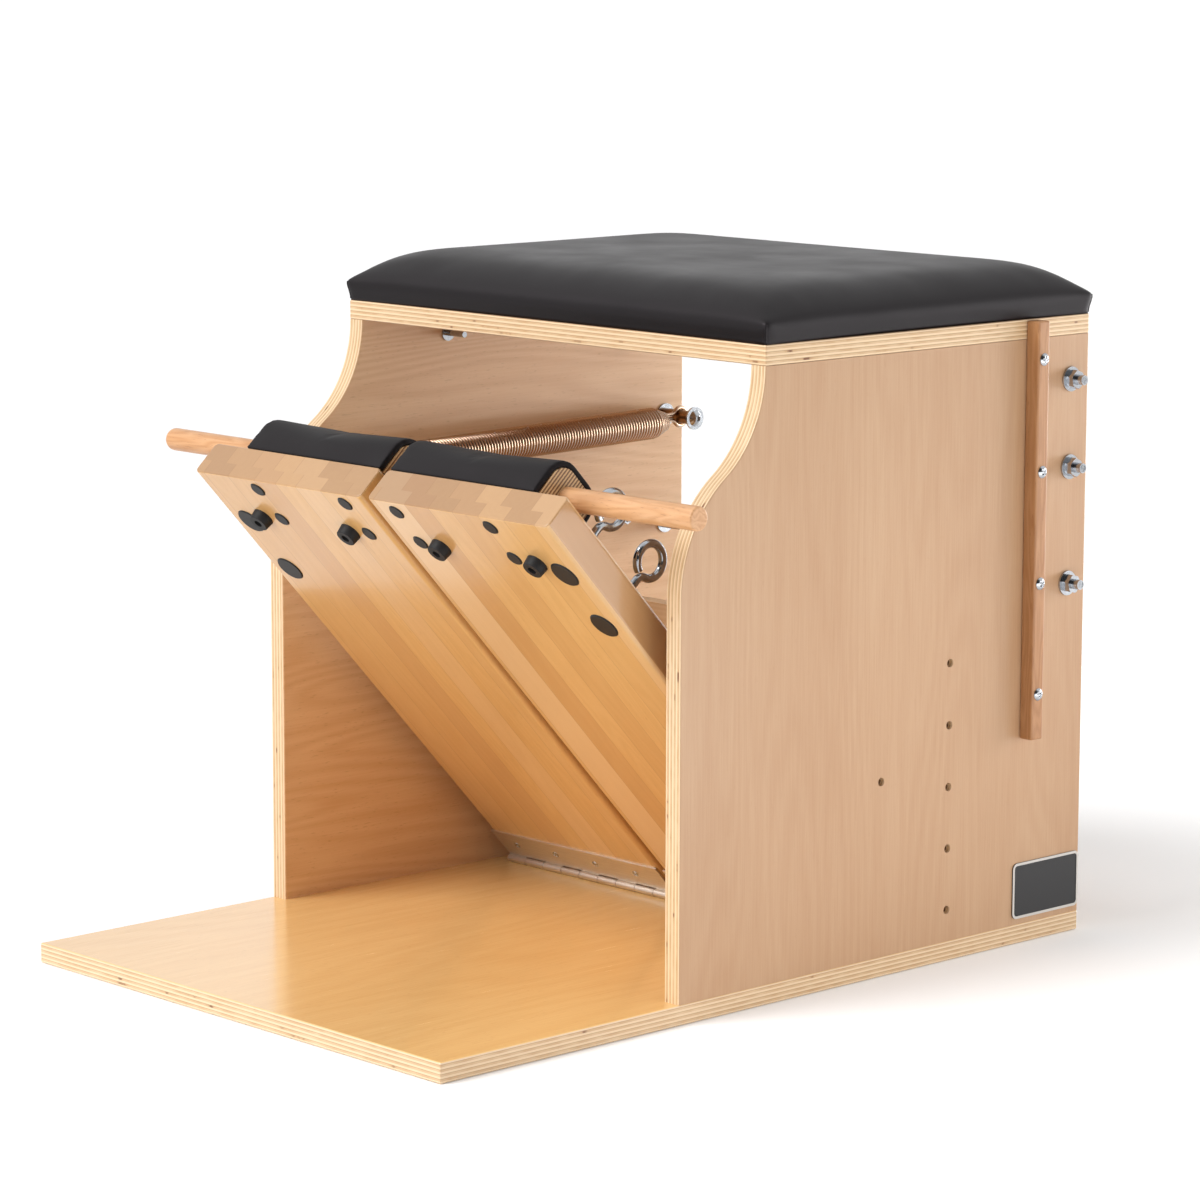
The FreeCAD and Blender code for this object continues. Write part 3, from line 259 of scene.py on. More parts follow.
@dataclass(frozen=True)
class Finish:
    """A named surface; each kind below fills in its own nodes."""

    name: str

    def material(self) -> Material:
        """Makes the material, or finds it if it was made before.

        Returns:
            The material with its nodes.
        """
        known = bpy.data.materials.get(self.name)
        if known:
            return known
        made = bpy.data.materials.new(self.name)
        made.use_nodes = True
        self.fill(made.node_tree, made.node_tree.nodes["Principled BSDF"])
        return made

    def fill(self, tree: NodeTree, shader: Node) -> None:
        """Adds the finish's own nodes.

        Args:
            tree: the material's tree.
            shader: its shader node.
        """
        raise NotImplementedError


@dataclass(frozen=True)
class Grain:
    """Sawn timber: growth lines, fibre and short dark flecks along the grain.

    A pattern's size is its width across and its length along the grain, in mm. Fibre and flecks are drawn
    about twice as coarse as they are, so that they show at the photograph's size.
    """

    light: str
    dark: str
    fleck: str
    figure_mm: float = 70
    lines: float = 20
    line_share: float = 0.22
    fleck_share: float = 0.25
    tone_share: float = 0.45
    fibre_share: float = 0.3
    figure_stretch: float = 8
    figure_detail: float = 1.5
    fibre_mm: Pair = (1.6, 60)
    fibre_detail: float = 3
    tone_mm: Pair = (150, 700)
    fleck_mm: Pair = (1.1, 9)
    fleck_range: Pair = (0.66, 0.76)
    tone_range: Pair = (0.25, 0.75)

    def streaks(self, tree: NodeTree, place: Source, size: Pair, detail: float = 1) -> Node:
        """Adds a pattern drawn out along the grain.

        Args:
            tree: the material's tree.
            place: across, through and along the grain, in metres.
            size: the pattern's width and length in mm.
            detail: how many finer steps it has.

        Returns:
            The pattern, from 0 to 1.
        """
        across, along = [1 / (length * MM) for length in size]
        spot = add_node(tree, "ShaderNodeMapping", {"Vector": place, "Scale": (across, across, along)})
        return add_node(tree, "ShaderNodeTexNoise", {"Vector": spot, "Scale": 1.0, "Detail": detail})

    def colour(self, tree: NodeTree, place: Source) -> tuple[Node, Node]:
        """Adds the timber's colour.

        Args:
            tree: the material's tree.
            place: across, through and along the grain, in metres.

        Returns:
            The colour, and the fibre for roughness and bump.
        """
        figure_size = (self.figure_mm, self.figure_mm * self.figure_stretch)
        figure = self.streaks(tree, place, figure_size, self.figure_detail)
        wave = add_node(tree, "ShaderNodeMath", {0: figure, 1: self.lines * math.tau}, operation="MULTIPLY")
        line = add_node(tree, "ShaderNodeMath", {0: wave}, operation="SINE")
        fibre = self.streaks(tree, place, self.fibre_mm, self.fibre_detail)
        tone = self.streaks(tree, place, self.tone_mm)
        shares = ((tone, self.tone_share), (line, self.line_share / 2), (fibre, self.fibre_share))
        mix: Union[Node, float] = 0.5 - (self.tone_share + self.fibre_share) / 2
        for pattern, share in shares:
            mix = add_node(tree, "ShaderNodeMath", {0: pattern, 1: share, 2: mix}, operation="MULTIPLY_ADD")
        ramp = add_node(tree, "ShaderNodeValToRGB", {"Fac": mix})
        for stop, spot, code in zip(ramp.color_ramp.elements, self.tone_range, (self.dark, self.light)):
            stop.position = spot
            stop.color = linear(code)
        dash = self.streaks(tree, place, self.fleck_mm)
        sharp = add_node(
            tree, "ShaderNodeMapRange", {"Value": dash, "From Min": self.fleck_range[0],
                                         "From Max": self.fleck_range[1], "To Max": self.fleck_share})
        marked = add_node(
            tree, "ShaderNodeMix", {"Factor": sharp, "A": ramp, "B": linear(self.fleck)}, data_type="RGBA")
        return marked, fibre


@dataclass(frozen=True)
class Lacquer:
    """Clear satin lacquer: the fibre shows in its gloss and relief, and a second coat may make it shine."""

    rough: float = 0.3
    film: float = 0.0
    film_rough: float = 0.15
    ior: float = 1.5
    smoother: float = 0.05
    rougher: float = 0.09
    relief_mm: float = 0.05
    relief_strength: float = 0.25

    def coat(self, tree: NodeTree, shader: Node, colour: Node, fibre: Node) -> None:
        """Puts the lacquer over a timber.

        Args:
            tree: the material's tree.
            shader: its shader.
            colour: the timber's colour.
            fibre: the pattern that the lacquer follows.
        """
        gloss = add_node(
            tree, "ShaderNodeMapRange", {"Value": fibre, "To Min": self.rough - self.smoother,
                                         "To Max": self.rough + self.rougher})
        bump = add_node(
            tree, "ShaderNodeBump", {"Height": fibre, "Strength": self.relief_strength,
                                     "Distance": self.relief_mm * MM})
        feed(tree, shader, {"Base Color": colour, "Roughness": gloss, "Normal": bump, "IOR": self.ior,
                            "Coat Weight": self.film, "Coat Roughness": self.film_rough})


@dataclass(frozen=True)
class Plywood(Finish):
    """Veneered plywood: a figured face, and layers with glue lines and dark end grain on the edges."""

    grain: Grain
    through: Axis
    start: float
    along: Axis
    thickness: float = 19
    plies: int = 9
    lacquer: Lacquer = Lacquer()
    low_face: Optional[Grain] = None
    veneer_mm: float = 1
    face_share: float = 0.25
    pale_layer: str = "#E6CAA4"
    dark_layer: str = "#B58552"
    glue: str = "#9A6A3C"
    glue_share: float = 0.65
    glue_range: Pair = (0.06, 0.2)
    dash: str = "#7A4E2C"
    dash_mm: float = 22.222
    dash_step: float = 7.31
    dash_detail: float = 2
    dash_range: Pair = (0.655, 0.72)

    def fill(self, tree: NodeTree, shader: Node) -> None:
        """Adds the veneer and the layered edge.

        Args:
            tree: the material's tree.
            shader: its shader node.
        """
        other = [axis for axis in Axis if axis not in (self.through, self.along)][0]
        spot = add_node(tree, "ShaderNodeTexCoord").outputs["Object"]
        part = add_node(tree, "ShaderNodeSeparateXYZ", {0: spot}).outputs
        across, through, along = [part[axis.value] for axis in (other, self.through, self.along)]
        place = add_node(tree, "ShaderNodeCombineXYZ", {"X": across, "Y": through, "Z": along})
        face, fibre = self.grain.colour(tree, place)
        # A low face may take its own grain: this keeps the left panel's painted-lighter inner grain off its
        # outer face
        if self.low_face is not None:
            crossed = add_node(tree, "ShaderNodeCombineXYZ", {"X": along, "Y": through, "Z": across})
            low_end = (self.start + self.veneer_mm) * MM
            low = add_node(tree, "ShaderNodeMath", {0: through, 1: low_end}, operation="LESS_THAN")
            veneer = self.low_face.colour(tree, crossed)[0]
            face = add_node(
                tree, "ShaderNodeMix", {"Factor": low, "A": face, "B": veneer}, data_type="RGBA")
        depth = add_node(
            tree, "ShaderNodeMapRange", {"Value": through, "From Min": self.start * MM,
                                         "From Max": (self.start + self.thickness) * MM,
                                         "To Max": float(self.plies)})
        half = self.plies / 2
        middle = add_node(tree, "ShaderNodeMath", {0: depth, 1: half}, operation="SUBTRACT")
        away = add_node(tree, "ShaderNodeMath", {0: middle}, operation="ABSOLUTE")
        is_edge = add_node(
            tree, "ShaderNodeMath", {0: away, 1: half - self.face_share}, operation="LESS_THAN")
        edge = self.layers(tree, across, along, depth)
        colour = add_node(
            tree, "ShaderNodeMix", {"Factor": is_edge, "A": face, "B": edge}, data_type="RGBA")
        self.lacquer.coat(tree, shader, colour, fibre)

    def layers(self, tree: NodeTree, across: NodeSocket, along: NodeSocket, depth: Node) -> Node:
        """Adds the layers of an edge: every second one shows dark dashes of end grain.

        Args:
            tree: the material's tree.
            across: the place across the grain, in metres.
            along: the place along the grain, in metres.
            depth: the place through the board, in layers.

        Returns:
            The edge's colour.
        """
        layer = add_node(tree, "ShaderNodeMath", {0: depth}, operation="FLOOR")
        odd = add_node(tree, "ShaderNodeMath", {0: layer, 1: 2.0}, operation="MODULO")
        within = add_node(tree, "ShaderNodeMath", {0: depth, 1: 1.0}, operation="PINGPONG")
        glue = add_node(
            tree, "ShaderNodeMapRange", {"Value": within, "From Min": self.glue_range[0],
                                         "From Max": self.glue_range[1], "To Min": self.glue_share,
                                         "To Max": 0.0})
        # Each layer's dashes start at another place
        seed = add_node(tree, "ShaderNodeMath", {0: layer, 1: self.dash_step}, operation="MULTIPLY")
        moved = add_node(tree, "ShaderNodeCombineXYZ", {"X": seed, "Y": seed})
        run = add_node(tree, "ShaderNodeCombineXYZ", {"X": across, "Z": along})
        per = 1 / (self.dash_mm * MM)
        scaled = add_node(tree, "ShaderNodeMapping", {"Vector": run, "Scale": (per, per, per)})
        lane = add_node(tree, "ShaderNodeVectorMath", {0: scaled, 1: moved}, operation="ADD")
        patch = add_node(
            tree, "ShaderNodeTexNoise", {"Vector": lane, "Scale": 1.0, "Detail": self.dash_detail})
        sharp = add_node(
            tree, "ShaderNodeMapRange", {"Value": patch, "From Min": self.dash_range[0],
                                         "From Max": self.dash_range[1]})
        dash = add_node(tree, "ShaderNodeMath", {0: sharp, 1: odd}, operation="MULTIPLY")
        shade = add_node(tree, "ShaderNodeMath", {0: odd, 1: patch}, operation="MULTIPLY")
        edge: Union[Node, tuple] = linear(self.pale_layer)
        for share, code in ((shade, self.dark_layer), (glue, self.glue), (dash, self.dash)):
            edge = add_node(
                tree, "ShaderNodeMix", {"Factor": share, "A": edge, "B": linear(code)}, data_type="RGBA")
        return edge


@dataclass(frozen=True)
class GluedStrips(Finish):
    """Pedal board glued from strips: each strip has its own tone, and the top end shows end grain."""

    grain: Grain
    lacquer: Lacquer
    strip_mm: float = 36
    strip_start: float = 41.3
    strip_spread: float = 0.55
    strip_apart: float = 3
    end_s: float = 595.2
    side_x: float = 248.7
    middle_n: float = 19
    middle_shift: float = 0.45
    warm: str = "#BE8A56"
    pale: str = "#EBCBA0"
    pale_from: float = 0.5
    flank: str = "#A87447"
    tint_share: float = 0.6
    end_dark: str = "#8E6746"
    end_light: str = "#B0875F"
    end_share: float = 0.25
    joint: str = "#8A5A2C"
    joint_share: float = 0.4
    joint_range: Pair = (0.004, 0.016)

    def fill(self, tree: NodeTree, shader: Node) -> None:
        """Adds the strips in the pedal's own directions.

        Args:
            tree: the material's tree.
            shader: its shader node.
        """
        spot = add_node(tree, "ShaderNodeTexCoord").outputs["Object"]
        turned = Matrix.Rotation(-LEAN, 3, "X") @ Vector((0, HINGE_Y, HINGE_Z)) * MM
        local = add_node(
            tree, "ShaderNodeMapping", {"Vector": spot, "Rotation": (-LEAN, 0, 0), "Location": -turned})
        part = add_node(tree, "ShaderNodeSeparateXYZ", {0: local}).outputs
        end = add_node(tree, "ShaderNodeMath", {0: part["Z"], 1: self.end_s * MM}, operation="GREATER_THAN")
        # On the top end the strips of the board's two halves are out of step
        half = add_node(
            tree, "ShaderNodeMath", {0: part["Y"], 1: self.middle_n * MM}, operation="GREATER_THAN")
        split = add_node(tree, "ShaderNodeMath", {0: half, 1: end}, operation="MULTIPLY")
        lane = add_node(
            tree, "ShaderNodeMath", {0: part["X"], 1: 1 / (self.strip_mm * MM), 2: self.strip_start},
            operation="MULTIPLY_ADD")
        lane = add_node(
            tree, "ShaderNodeMath", {0: split, 1: self.middle_shift, 2: lane}, operation="MULTIPLY_ADD")
        cells = {"W": lane, "Scale": 1.0, "Randomness": self.strip_spread}
        strip = add_node(tree, "ShaderNodeTexVoronoi", cells, voronoi_dimensions="1D").outputs["Color"]
        joint = add_node(
            tree, "ShaderNodeTexVoronoi", cells, voronoi_dimensions="1D", feature="DISTANCE_TO_EDGE")
        tone = add_node(tree, "ShaderNodeSeparateColor", {0: strip}).outputs
        far = add_node(
            tree, "ShaderNodeVectorMath", {0: strip, "Scale": self.strip_apart}, operation="SCALE")
        place = add_node(tree, "ShaderNodeVectorMath", {0: local, 1: far}, operation="ADD")
        body, fibre = self.grain.colour(tree, place)
        warm = add_node(tree, "ShaderNodeMapRange", {"Value": tone[0], "To Max": self.tint_share})
        pale = add_node(
            tree, "ShaderNodeMapRange", {"Value": tone[1], "From Min": self.pale_from,
                                         "To Max": self.tint_share})
        outward = add_node(tree, "ShaderNodeMath", {0: part["X"]}, operation="ABSOLUTE")
        outside = add_node(
            tree, "ShaderNodeMath", {0: outward, 1: self.side_x * MM}, operation="GREATER_THAN")
        flank = add_node(tree, "ShaderNodeMath", {0: outside, 1: self.tint_share}, operation="MULTIPLY")
        for share, code in ((warm, self.warm), (pale, self.pale), (flank, self.flank)):
            body = add_node(
                tree, "ShaderNodeMix", {"Factor": share, "A": body, "B": linear(code)}, data_type="RGBA")
        blocks = add_node(
            tree, "ShaderNodeMix", {"Factor": tone[2], "A": linear(self.end_dark),
                                    "B": linear(self.end_light)}, data_type="RGBA")
        ends = add_node(
            tree, "ShaderNodeMix", {"Factor": self.end_share, "A": blocks, "B": body}, data_type="RGBA")
        body = add_node(tree, "ShaderNodeMix", {"Factor": end, "A": body, "B": ends}, data_type="RGBA")
        seam = add_node(
            tree, "ShaderNodeMapRange", {"Value": joint, "From Min": self.joint_range[0],
                                         "From Max": self.joint_range[1], "To Min": self.joint_share,
                                         "To Max": 0.0})
        body = add_node(
            tree, "ShaderNodeMix", {"Factor": seam, "A": body, "B": linear(self.joint)}, data_type="RGBA")
        self.lacquer.coat(tree, shader, body, fibre)


@dataclass(frozen=True)
class LaminatedCore(Finish):
    """Bolster core of plywood layers that lie parallel to the pedal: light and dark brown stripes."""

    lacquer: Lacquer
    layer_mm: float = 3.4
    dark: str = "#7C5433"
    light: str = "#DDB988"
    stripe_share: float = 0.45
    tone_range: Pair = (0.2, 0.8)
    fibre_mm: Triple = (16.6667, 1.11111, 1.11111)
    fibre_detail: float = 3

    def fill(self, tree: NodeTree, shader: Node) -> None:
        """Adds the stripes.

        Args:
            tree: the material's tree.
            shader: its shader node.
        """
        spot = add_node(tree, "ShaderNodeTexCoord").outputs["Object"]
        local = add_node(tree, "ShaderNodeMapping", {"Vector": spot, "Rotation": (-LEAN, 0, 0)})
        part = add_node(tree, "ShaderNodeSeparateXYZ", {0: local}).outputs
        per_layer = math.tau / (self.layer_mm * MM)
        step = add_node(tree, "ShaderNodeMath", {0: part["Z"], 1: per_layer}, operation="MULTIPLY")
        wave = add_node(tree, "ShaderNodeMath", {0: step}, operation="SINE")
        scale = tuple(1 / (size * MM) for size in self.fibre_mm)
        grain = add_node(tree, "ShaderNodeMapping", {"Vector": local, "Scale": scale})
        fibre = add_node(
            tree, "ShaderNodeTexNoise", {"Vector": grain, "Scale": 1.0, "Detail": self.fibre_detail})
        mix = add_node(
            tree, "ShaderNodeMath", {0: wave, 1: self.stripe_share, 2: fibre}, operation="MULTIPLY_ADD")
        ramp = add_node(tree, "ShaderNodeValToRGB", {"Fac": mix})
        for stop, spot, code in zip(ramp.color_ramp.elements, self.tone_range, (self.dark, self.light)):
            stop.position = spot
            stop.color = linear(code)
        self.lacquer.coat(tree, shader, ramp, fibre)


@dataclass(frozen=True)
class TurnedTimber(Finish):
    """Oiled beech rod or batten: reddish, with fine dark flecks along it."""

    grain: Grain
    along: Axis
    lacquer: Lacquer

    def fill(self, tree: NodeTree, shader: Node) -> None:
        """Adds the grain along one axis.

        Args:
            tree: the material's tree.
            shader: its shader node.
        """
        first, second = [axis.value for axis in Axis if axis is not self.along]
        spot = add_node(tree, "ShaderNodeTexCoord").outputs["Object"]
        part = add_node(tree, "ShaderNodeSeparateXYZ", {0: spot}).outputs
        place = add_node(
            tree, "ShaderNodeCombineXYZ", {"X": part[first], "Y": part[second],
                                           "Z": part[self.along.value]})
        colour, fibre = self.grain.colour(tree, place)
        self.lacquer.coat(tree, shader, colour, fibre)


@dataclass(frozen=True)
class Upholstery(Finish):
    """Vinyl or foam skin: a pebbled bump in cells, with the gloss broken between them."""

    colour: str
    pale: str
    cell_mm: float
    relief_mm: float
    rough: float
    gloss: float = 0.3
    sheen: float = 0.0
    sheen_rough: float = 0.5
    tint: str = "#FFF2F9"
    relief_strength: float = 0.35
    cloud_mm: float = 71.4286
    cloud_detail: float = 4
    cloud_range: Pair = (0.3, 0.7)
    smoother: float = 0.04
    rougher: float = 0.05

    def fill(self, tree: NodeTree, shader: Node) -> None:
        """Adds the pebble and a cloudy change of tone.

        Args:
            tree: the material's tree.
            shader: its shader node.
        """
        spot = add_node(tree, "ShaderNodeTexCoord").outputs["Object"]
        cell = add_node(
            tree, "ShaderNodeTexVoronoi", {"Vector": spot, "Scale": 1 / (self.cell_mm * MM)},
            feature="SMOOTH_F1")
        cloud = add_node(
            tree, "ShaderNodeTexNoise", {"Vector": spot, "Scale": 1 / (self.cloud_mm * MM),
                                         "Detail": self.cloud_detail})
        tone = add_node(
            tree, "ShaderNodeMix", {"Factor": cloud, "A": linear(self.colour), "B": linear(self.pale)},
            data_type="RGBA")
        gloss = add_node(
            tree, "ShaderNodeMapRange", {"Value": cloud, "From Min": self.cloud_range[0],
                                         "From Max": self.cloud_range[1],
                                         "To Min": self.rough - self.smoother,
                                         "To Max": self.rough + self.rougher})
        bump = add_node(
            tree, "ShaderNodeBump", {"Height": cell, "Strength": self.relief_strength,
                                     "Distance": self.relief_mm * MM})
        feed(tree, shader, {"Base Color": tone, "Roughness": gloss, "Normal": bump,
                            "Specular IOR Level": self.gloss, "Specular Tint": linear(self.tint),
                            "Sheen Weight": self.sheen, "Sheen Roughness": self.sheen_rough})


@dataclass(frozen=True)
class Metal(Finish):
    """Bare or plated metal, with drawn streaks or a mottled plating."""

    colour: str
    worn: str
    rough: float
    streak_mm: Triple = (3, 3, 3)
    streak_detail: float = 3
    streak_range: Pair = (0.25, 0.75)
    smoother: float = 0.06
    rougher: float = 0.1

    def fill(self, tree: NodeTree, shader: Node) -> None:
        """Adds the streaks to colour and gloss.

        Args:
            tree: the material's tree.
            shader: its shader node.
        """
        spot = add_node(tree, "ShaderNodeTexCoord").outputs["Object"]
        scale = tuple(1 / (size * MM) for size in self.streak_mm)
        place = add_node(tree, "ShaderNodeMapping", {"Vector": spot, "Scale": scale})
        streak = add_node(
            tree, "ShaderNodeTexNoise", {"Vector": place, "Scale": 1.0, "Detail": self.streak_detail})
        tone = add_node(
            tree, "ShaderNodeMix", {"Factor": streak, "A": linear(self.colour), "B": linear(self.worn)},
            data_type="RGBA")
        gloss = add_node(
            tree, "ShaderNodeMapRange", {"Value": streak, "From Min": self.streak_range[0],
                                         "From Max": self.streak_range[1],
                                         "To Min": self.rough - self.smoother,
                                         "To Max": self.rough + self.rougher})
        feed(tree, shader, {"Base Color": tone, "Roughness": gloss, "Metallic": 1.0})


@dataclass(frozen=True)
class Moulded(Finish):
    """Moulded rubber or plastic: a matt black with fine grain from the mould."""

    colour: str
    rough: float
    grit_mm: float = 0.5
    pale: str = "#242324"
    gloss: float = 0.3
    gloss_spread: float = 0.1
    grit_detail: float = 2
    relief_mm: float = 0.05
    relief_strength: float = 0.2

    def fill(self, tree: NodeTree, shader: Node) -> None:
        """Adds the mould's grain.

        Args:
            tree: the material's tree.
            shader: its shader node.
        """
        spot = add_node(tree, "ShaderNodeTexCoord").outputs["Object"]
        grit = add_node(
            tree, "ShaderNodeTexNoise", {"Vector": spot, "Scale": 1 / (self.grit_mm * MM),
                                         "Detail": self.grit_detail})
        tone = add_node(
            tree, "ShaderNodeMix", {"Factor": grit, "A": linear(self.colour), "B": linear(self.pale)},
            data_type="RGBA")
        gloss = add_node(
            tree, "ShaderNodeMapRange", {"Value": grit, "To Min": self.rough - self.gloss_spread,
                                         "To Max": self.rough + self.gloss_spread})
        bump = add_node(
            tree, "ShaderNodeBump", {"Height": grit, "Strength": self.relief_strength,
                                     "Distance": self.relief_mm * MM})
        feed(tree, shader, {"Base Color": tone, "Roughness": gloss, "Normal": bump,
                            "Specular IOR Level": self.gloss})


@dataclass(frozen=True)
class RimmedPlate(Finish):
    """Bare painted plate: satin black, with the raised rim left as pale metal."""

    rim_x: float
    rim: str = "#C9C4BE"
    paint_dark: str = "#121113"
    paint_light: str = "#1C1B1D"
    grit_mm: float = 1.42857
    grit_detail: float = 2
    rough_range: Pair = (0.3, 0.48)

    def fill(self, tree: NodeTree, shader: Node) -> None:
        """Adds the paint and the rim.

        Args:
            tree: the material's tree.
            shader: its shader node.
        """
        spot = add_node(tree, "ShaderNodeTexCoord").outputs["Object"]
        part = add_node(tree, "ShaderNodeSeparateXYZ", {0: spot}).outputs
        rim = add_node(tree, "ShaderNodeMath", {0: part["X"], 1: self.rim_x * MM}, operation="GREATER_THAN")
        grit = add_node(
            tree, "ShaderNodeTexNoise", {"Vector": spot, "Scale": 1 / (self.grit_mm * MM),
                                         "Detail": self.grit_detail})
        black = add_node(
            tree, "ShaderNodeMix", {"Factor": grit, "A": linear(self.paint_dark),
                                    "B": linear(self.paint_light)}, data_type="RGBA")
        tone = add_node(
            tree, "ShaderNodeMix", {"Factor": rim, "A": black, "B": linear(self.rim)}, data_type="RGBA")
        gloss = add_node(
            tree, "ShaderNodeMapRange", {"Value": grit, "To Min": self.rough_range[0],
                                         "To Max": self.rough_range[1]})
        feed(tree, shader, {"Base Color": tone, "Roughness": gloss})


# Maple veneer is pale and quiet outside, wavy and painted lighter on the shaded inner faces to stand in for
# light they lack, and warmer on the base, partly as painted warm light bounced from the pedals
MAPLE = Grain(light="#C7A380", dark="#B38863", fleck="#A97B52", figure_mm=95, lines=16, line_share=0.07,
              fleck_share=0.15)
# Painted light: lighter than MAPLE, to make up for the shade on the chair's inner faces
MAPLE_WAVY_PAINTED_LIGHT = Grain(light="#EAC59A", dark="#D6A97B", fleck="#9A6A40", figure_mm=120, lines=34,
                   line_share=0.18, fleck_share=0.25, tone_share=0.32)
# Partly painted light: warmer than MAPLE, standing in for the warm light that the pedals bounce onto the
# base
MAPLE_BASE_PAINTED_BOUNCE = Grain(light="#EFC789", dark="#DDAF6E", fleck="#A07046", figure_mm=110, lines=14,
                   line_share=0.08, fleck_share=0.2)
PEDAL_TIMBER = Grain(light="#E4B879", dark="#D09F5E", fleck="#9C6C40", figure_mm=34, lines=9,
                     line_share=0.12)
BEECH = Grain(light="#DAAA7E", dark="#C08A5A", fleck="#8A5A34", figure_mm=16, lines=8, fleck_share=0.5)
BEECH_RED = Grain(light="#BC8A5E", dark="#A06D43", fleck="#85552F", figure_mm=16, lines=8, fleck_share=0.4)

# Lacquered plywood: satin faces that mirror the light softly, and striped edges
PLY_BASE = Plywood("base_plywood", MAPLE_BASE_PAINTED_BOUNCE, Axis.Z, 0, Axis.Y, lacquer=Lacquer(0.22, 0.6))
PLY_SEAT = Plywood("seat_plywood", MAPLE, Axis.Z, 589, Axis.X)
# The left panel's inner face is painted lighter for its shade; its outer face keeps plain maple
PLY_LEFT = Plywood("left_panel_plywood", MAPLE_WAVY_PAINTED_LIGHT, Axis.X, -290, Axis.Y, low_face=MAPLE)
PLY_RIGHT = Plywood("right_panel_plywood", MAPLE, Axis.X, 271, Axis.Z)
PLY_CROSS = Plywood("cross_panel_plywood", MAPLE_WAVY_PAINTED_LIGHT, Axis.Y, 214.5, Axis.X)
PLY_PAD = Plywood("pad_board_plywood", MAPLE, Axis.Z, 608, Axis.X, thickness=9, plies=5)
# Glued and lacquered strips: a shining board whose tone changes from strip to strip
PEDAL_STRIPS = GluedStrips("glued_pedal_strips", PEDAL_TIMBER, Lacquer(film=0.6))
# Plywood sawn across its layers: brown stripes with little shine
CORE = LaminatedCore("laminated_bolster_core", Lacquer(0.4))
# Turned and planed beech: warm and smooth, with dark flecks
BEECH_DOWEL = TurnedTimber("turned_beech_dowel", BEECH, Axis.X, Lacquer(0.36))
BEECH_BATTEN = TurnedTimber("planed_beech_batten", BEECH_RED, Axis.Z, Lacquer(0.36))
# Embossed vinyl and skinned foam: near black, with a soft, broken highlight
VINYL = Upholstery("black_vinyl", "#0D0B0C", "#131112", 1.6, 0.08, 0.42, 0.2)
FOAM = Upholstery("black_foam_skin", "#0C0B0B", "#121011", 0.9, 0.1, 0.6, 0.2, 0.03)
# Bronzed wire and turned bronze: warm and bright, with dark reflections
BRONZE = Metal("bronzed_spring_wire", "#CBB098", "#B39A84", 0.2, (9, 9, 9))
SLEEVE_BRONZE = Metal("bronze_sleeve", "#A9855F", "#7F6044", 0.3, (40, 2, 2))
# Zinc plating is bright and a little mottled, rolled steel is dull and streaked, browned steel is dark
ZINC = Metal("zinc_plated_steel", "#C4C7CB", "#A2A5AA", 0.14)
HINGE_STEEL = Metal("rolled_hinge_steel", "#EEE4D8", "#CFC5B9", 0.42, (30, 0.8, 0.8))
BROWN_SCREW = Metal("browned_screw", "#7B5637", "#553721", 0.45)
# Moulded rubber and plastic: flat black
RUBBER = Moulded("moulded_black_rubber", "#0E0D0E", 0.55)
PLASTIC = Moulded("moulded_black_plastic", "#0E0D0E", 0.48, 0.35)
# Painted plate: satin black in a pale frame
PLATE = RimmedPlate("painted_blank_plate", 291.2)


# Trees of geometry nodes


class PieceTree:
    """A tree of geometry nodes that makes one plain piece from a guide object."""

    def __init__(self, name: str, inputs: dict[str, str]) -> None:
        """Builds the tree with its named inputs.

        Args:
            name: the tree's name.
            inputs: each input's name and socket type, apart from the guide and the finish.
        """
        tree = bpy.data.node_groups.new(name, "GeometryNodeTree")
        face = tree.interface
        face.new_socket("Guide", in_out="INPUT", socket_type="NodeSocketGeometry")
        kinds = {**inputs, "Finish": "NodeSocketMaterial"}
        self.keys = {label: face.new_socket(label, in_out="INPUT", socket_type=kind).identifier
                     for label, kind in kinds.items()}
        face.new_socket("Piece", in_out="OUTPUT", socket_type="NodeSocketGeometry")
        given = add_node(tree, "NodeGroupInput").outputs
        shape = self.shape(tree, given)
        real = add_node(tree, "GeometryNodeRealizeInstances", {"Geometry": shape})
        done = add_node(tree, "GeometryNodeSetMaterial", {"Geometry": real, "Material": given["Finish"]})
        add_node(tree, "NodeGroupOutput", {0: done})
        self.tree = tree

    def shape(self, tree: NodeTree, given: bpy.types.NodeOutputs) -> Node:
        """Adds the nodes that make the piece's shape.

        Args:
            tree: the tree.
            given: its inputs.

        Returns:
            The node that gives the shape.
        """
        raise NotImplementedError

    def applied(self, name: str, guide: Object, values: dict[str, object]) -> Object:
        """Makes the piece, and removes its guide.

        Args:
            name: the piece's name.
            guide: the object that the tree works on.
            values: each input's name and value.

        Returns:
            The piece, as a plain mesh.
        """
        dress = guide.modifiers.new("tree", "NODES")
        dress.node_group = self.tree
        for label, value in values.items():
            dress[self.keys[label]] = value
        piece = link_object(name, settled_mesh(guide, name))
        guide.modifiers.clear()
        bpy.data.objects.remove(guide)
        return piece


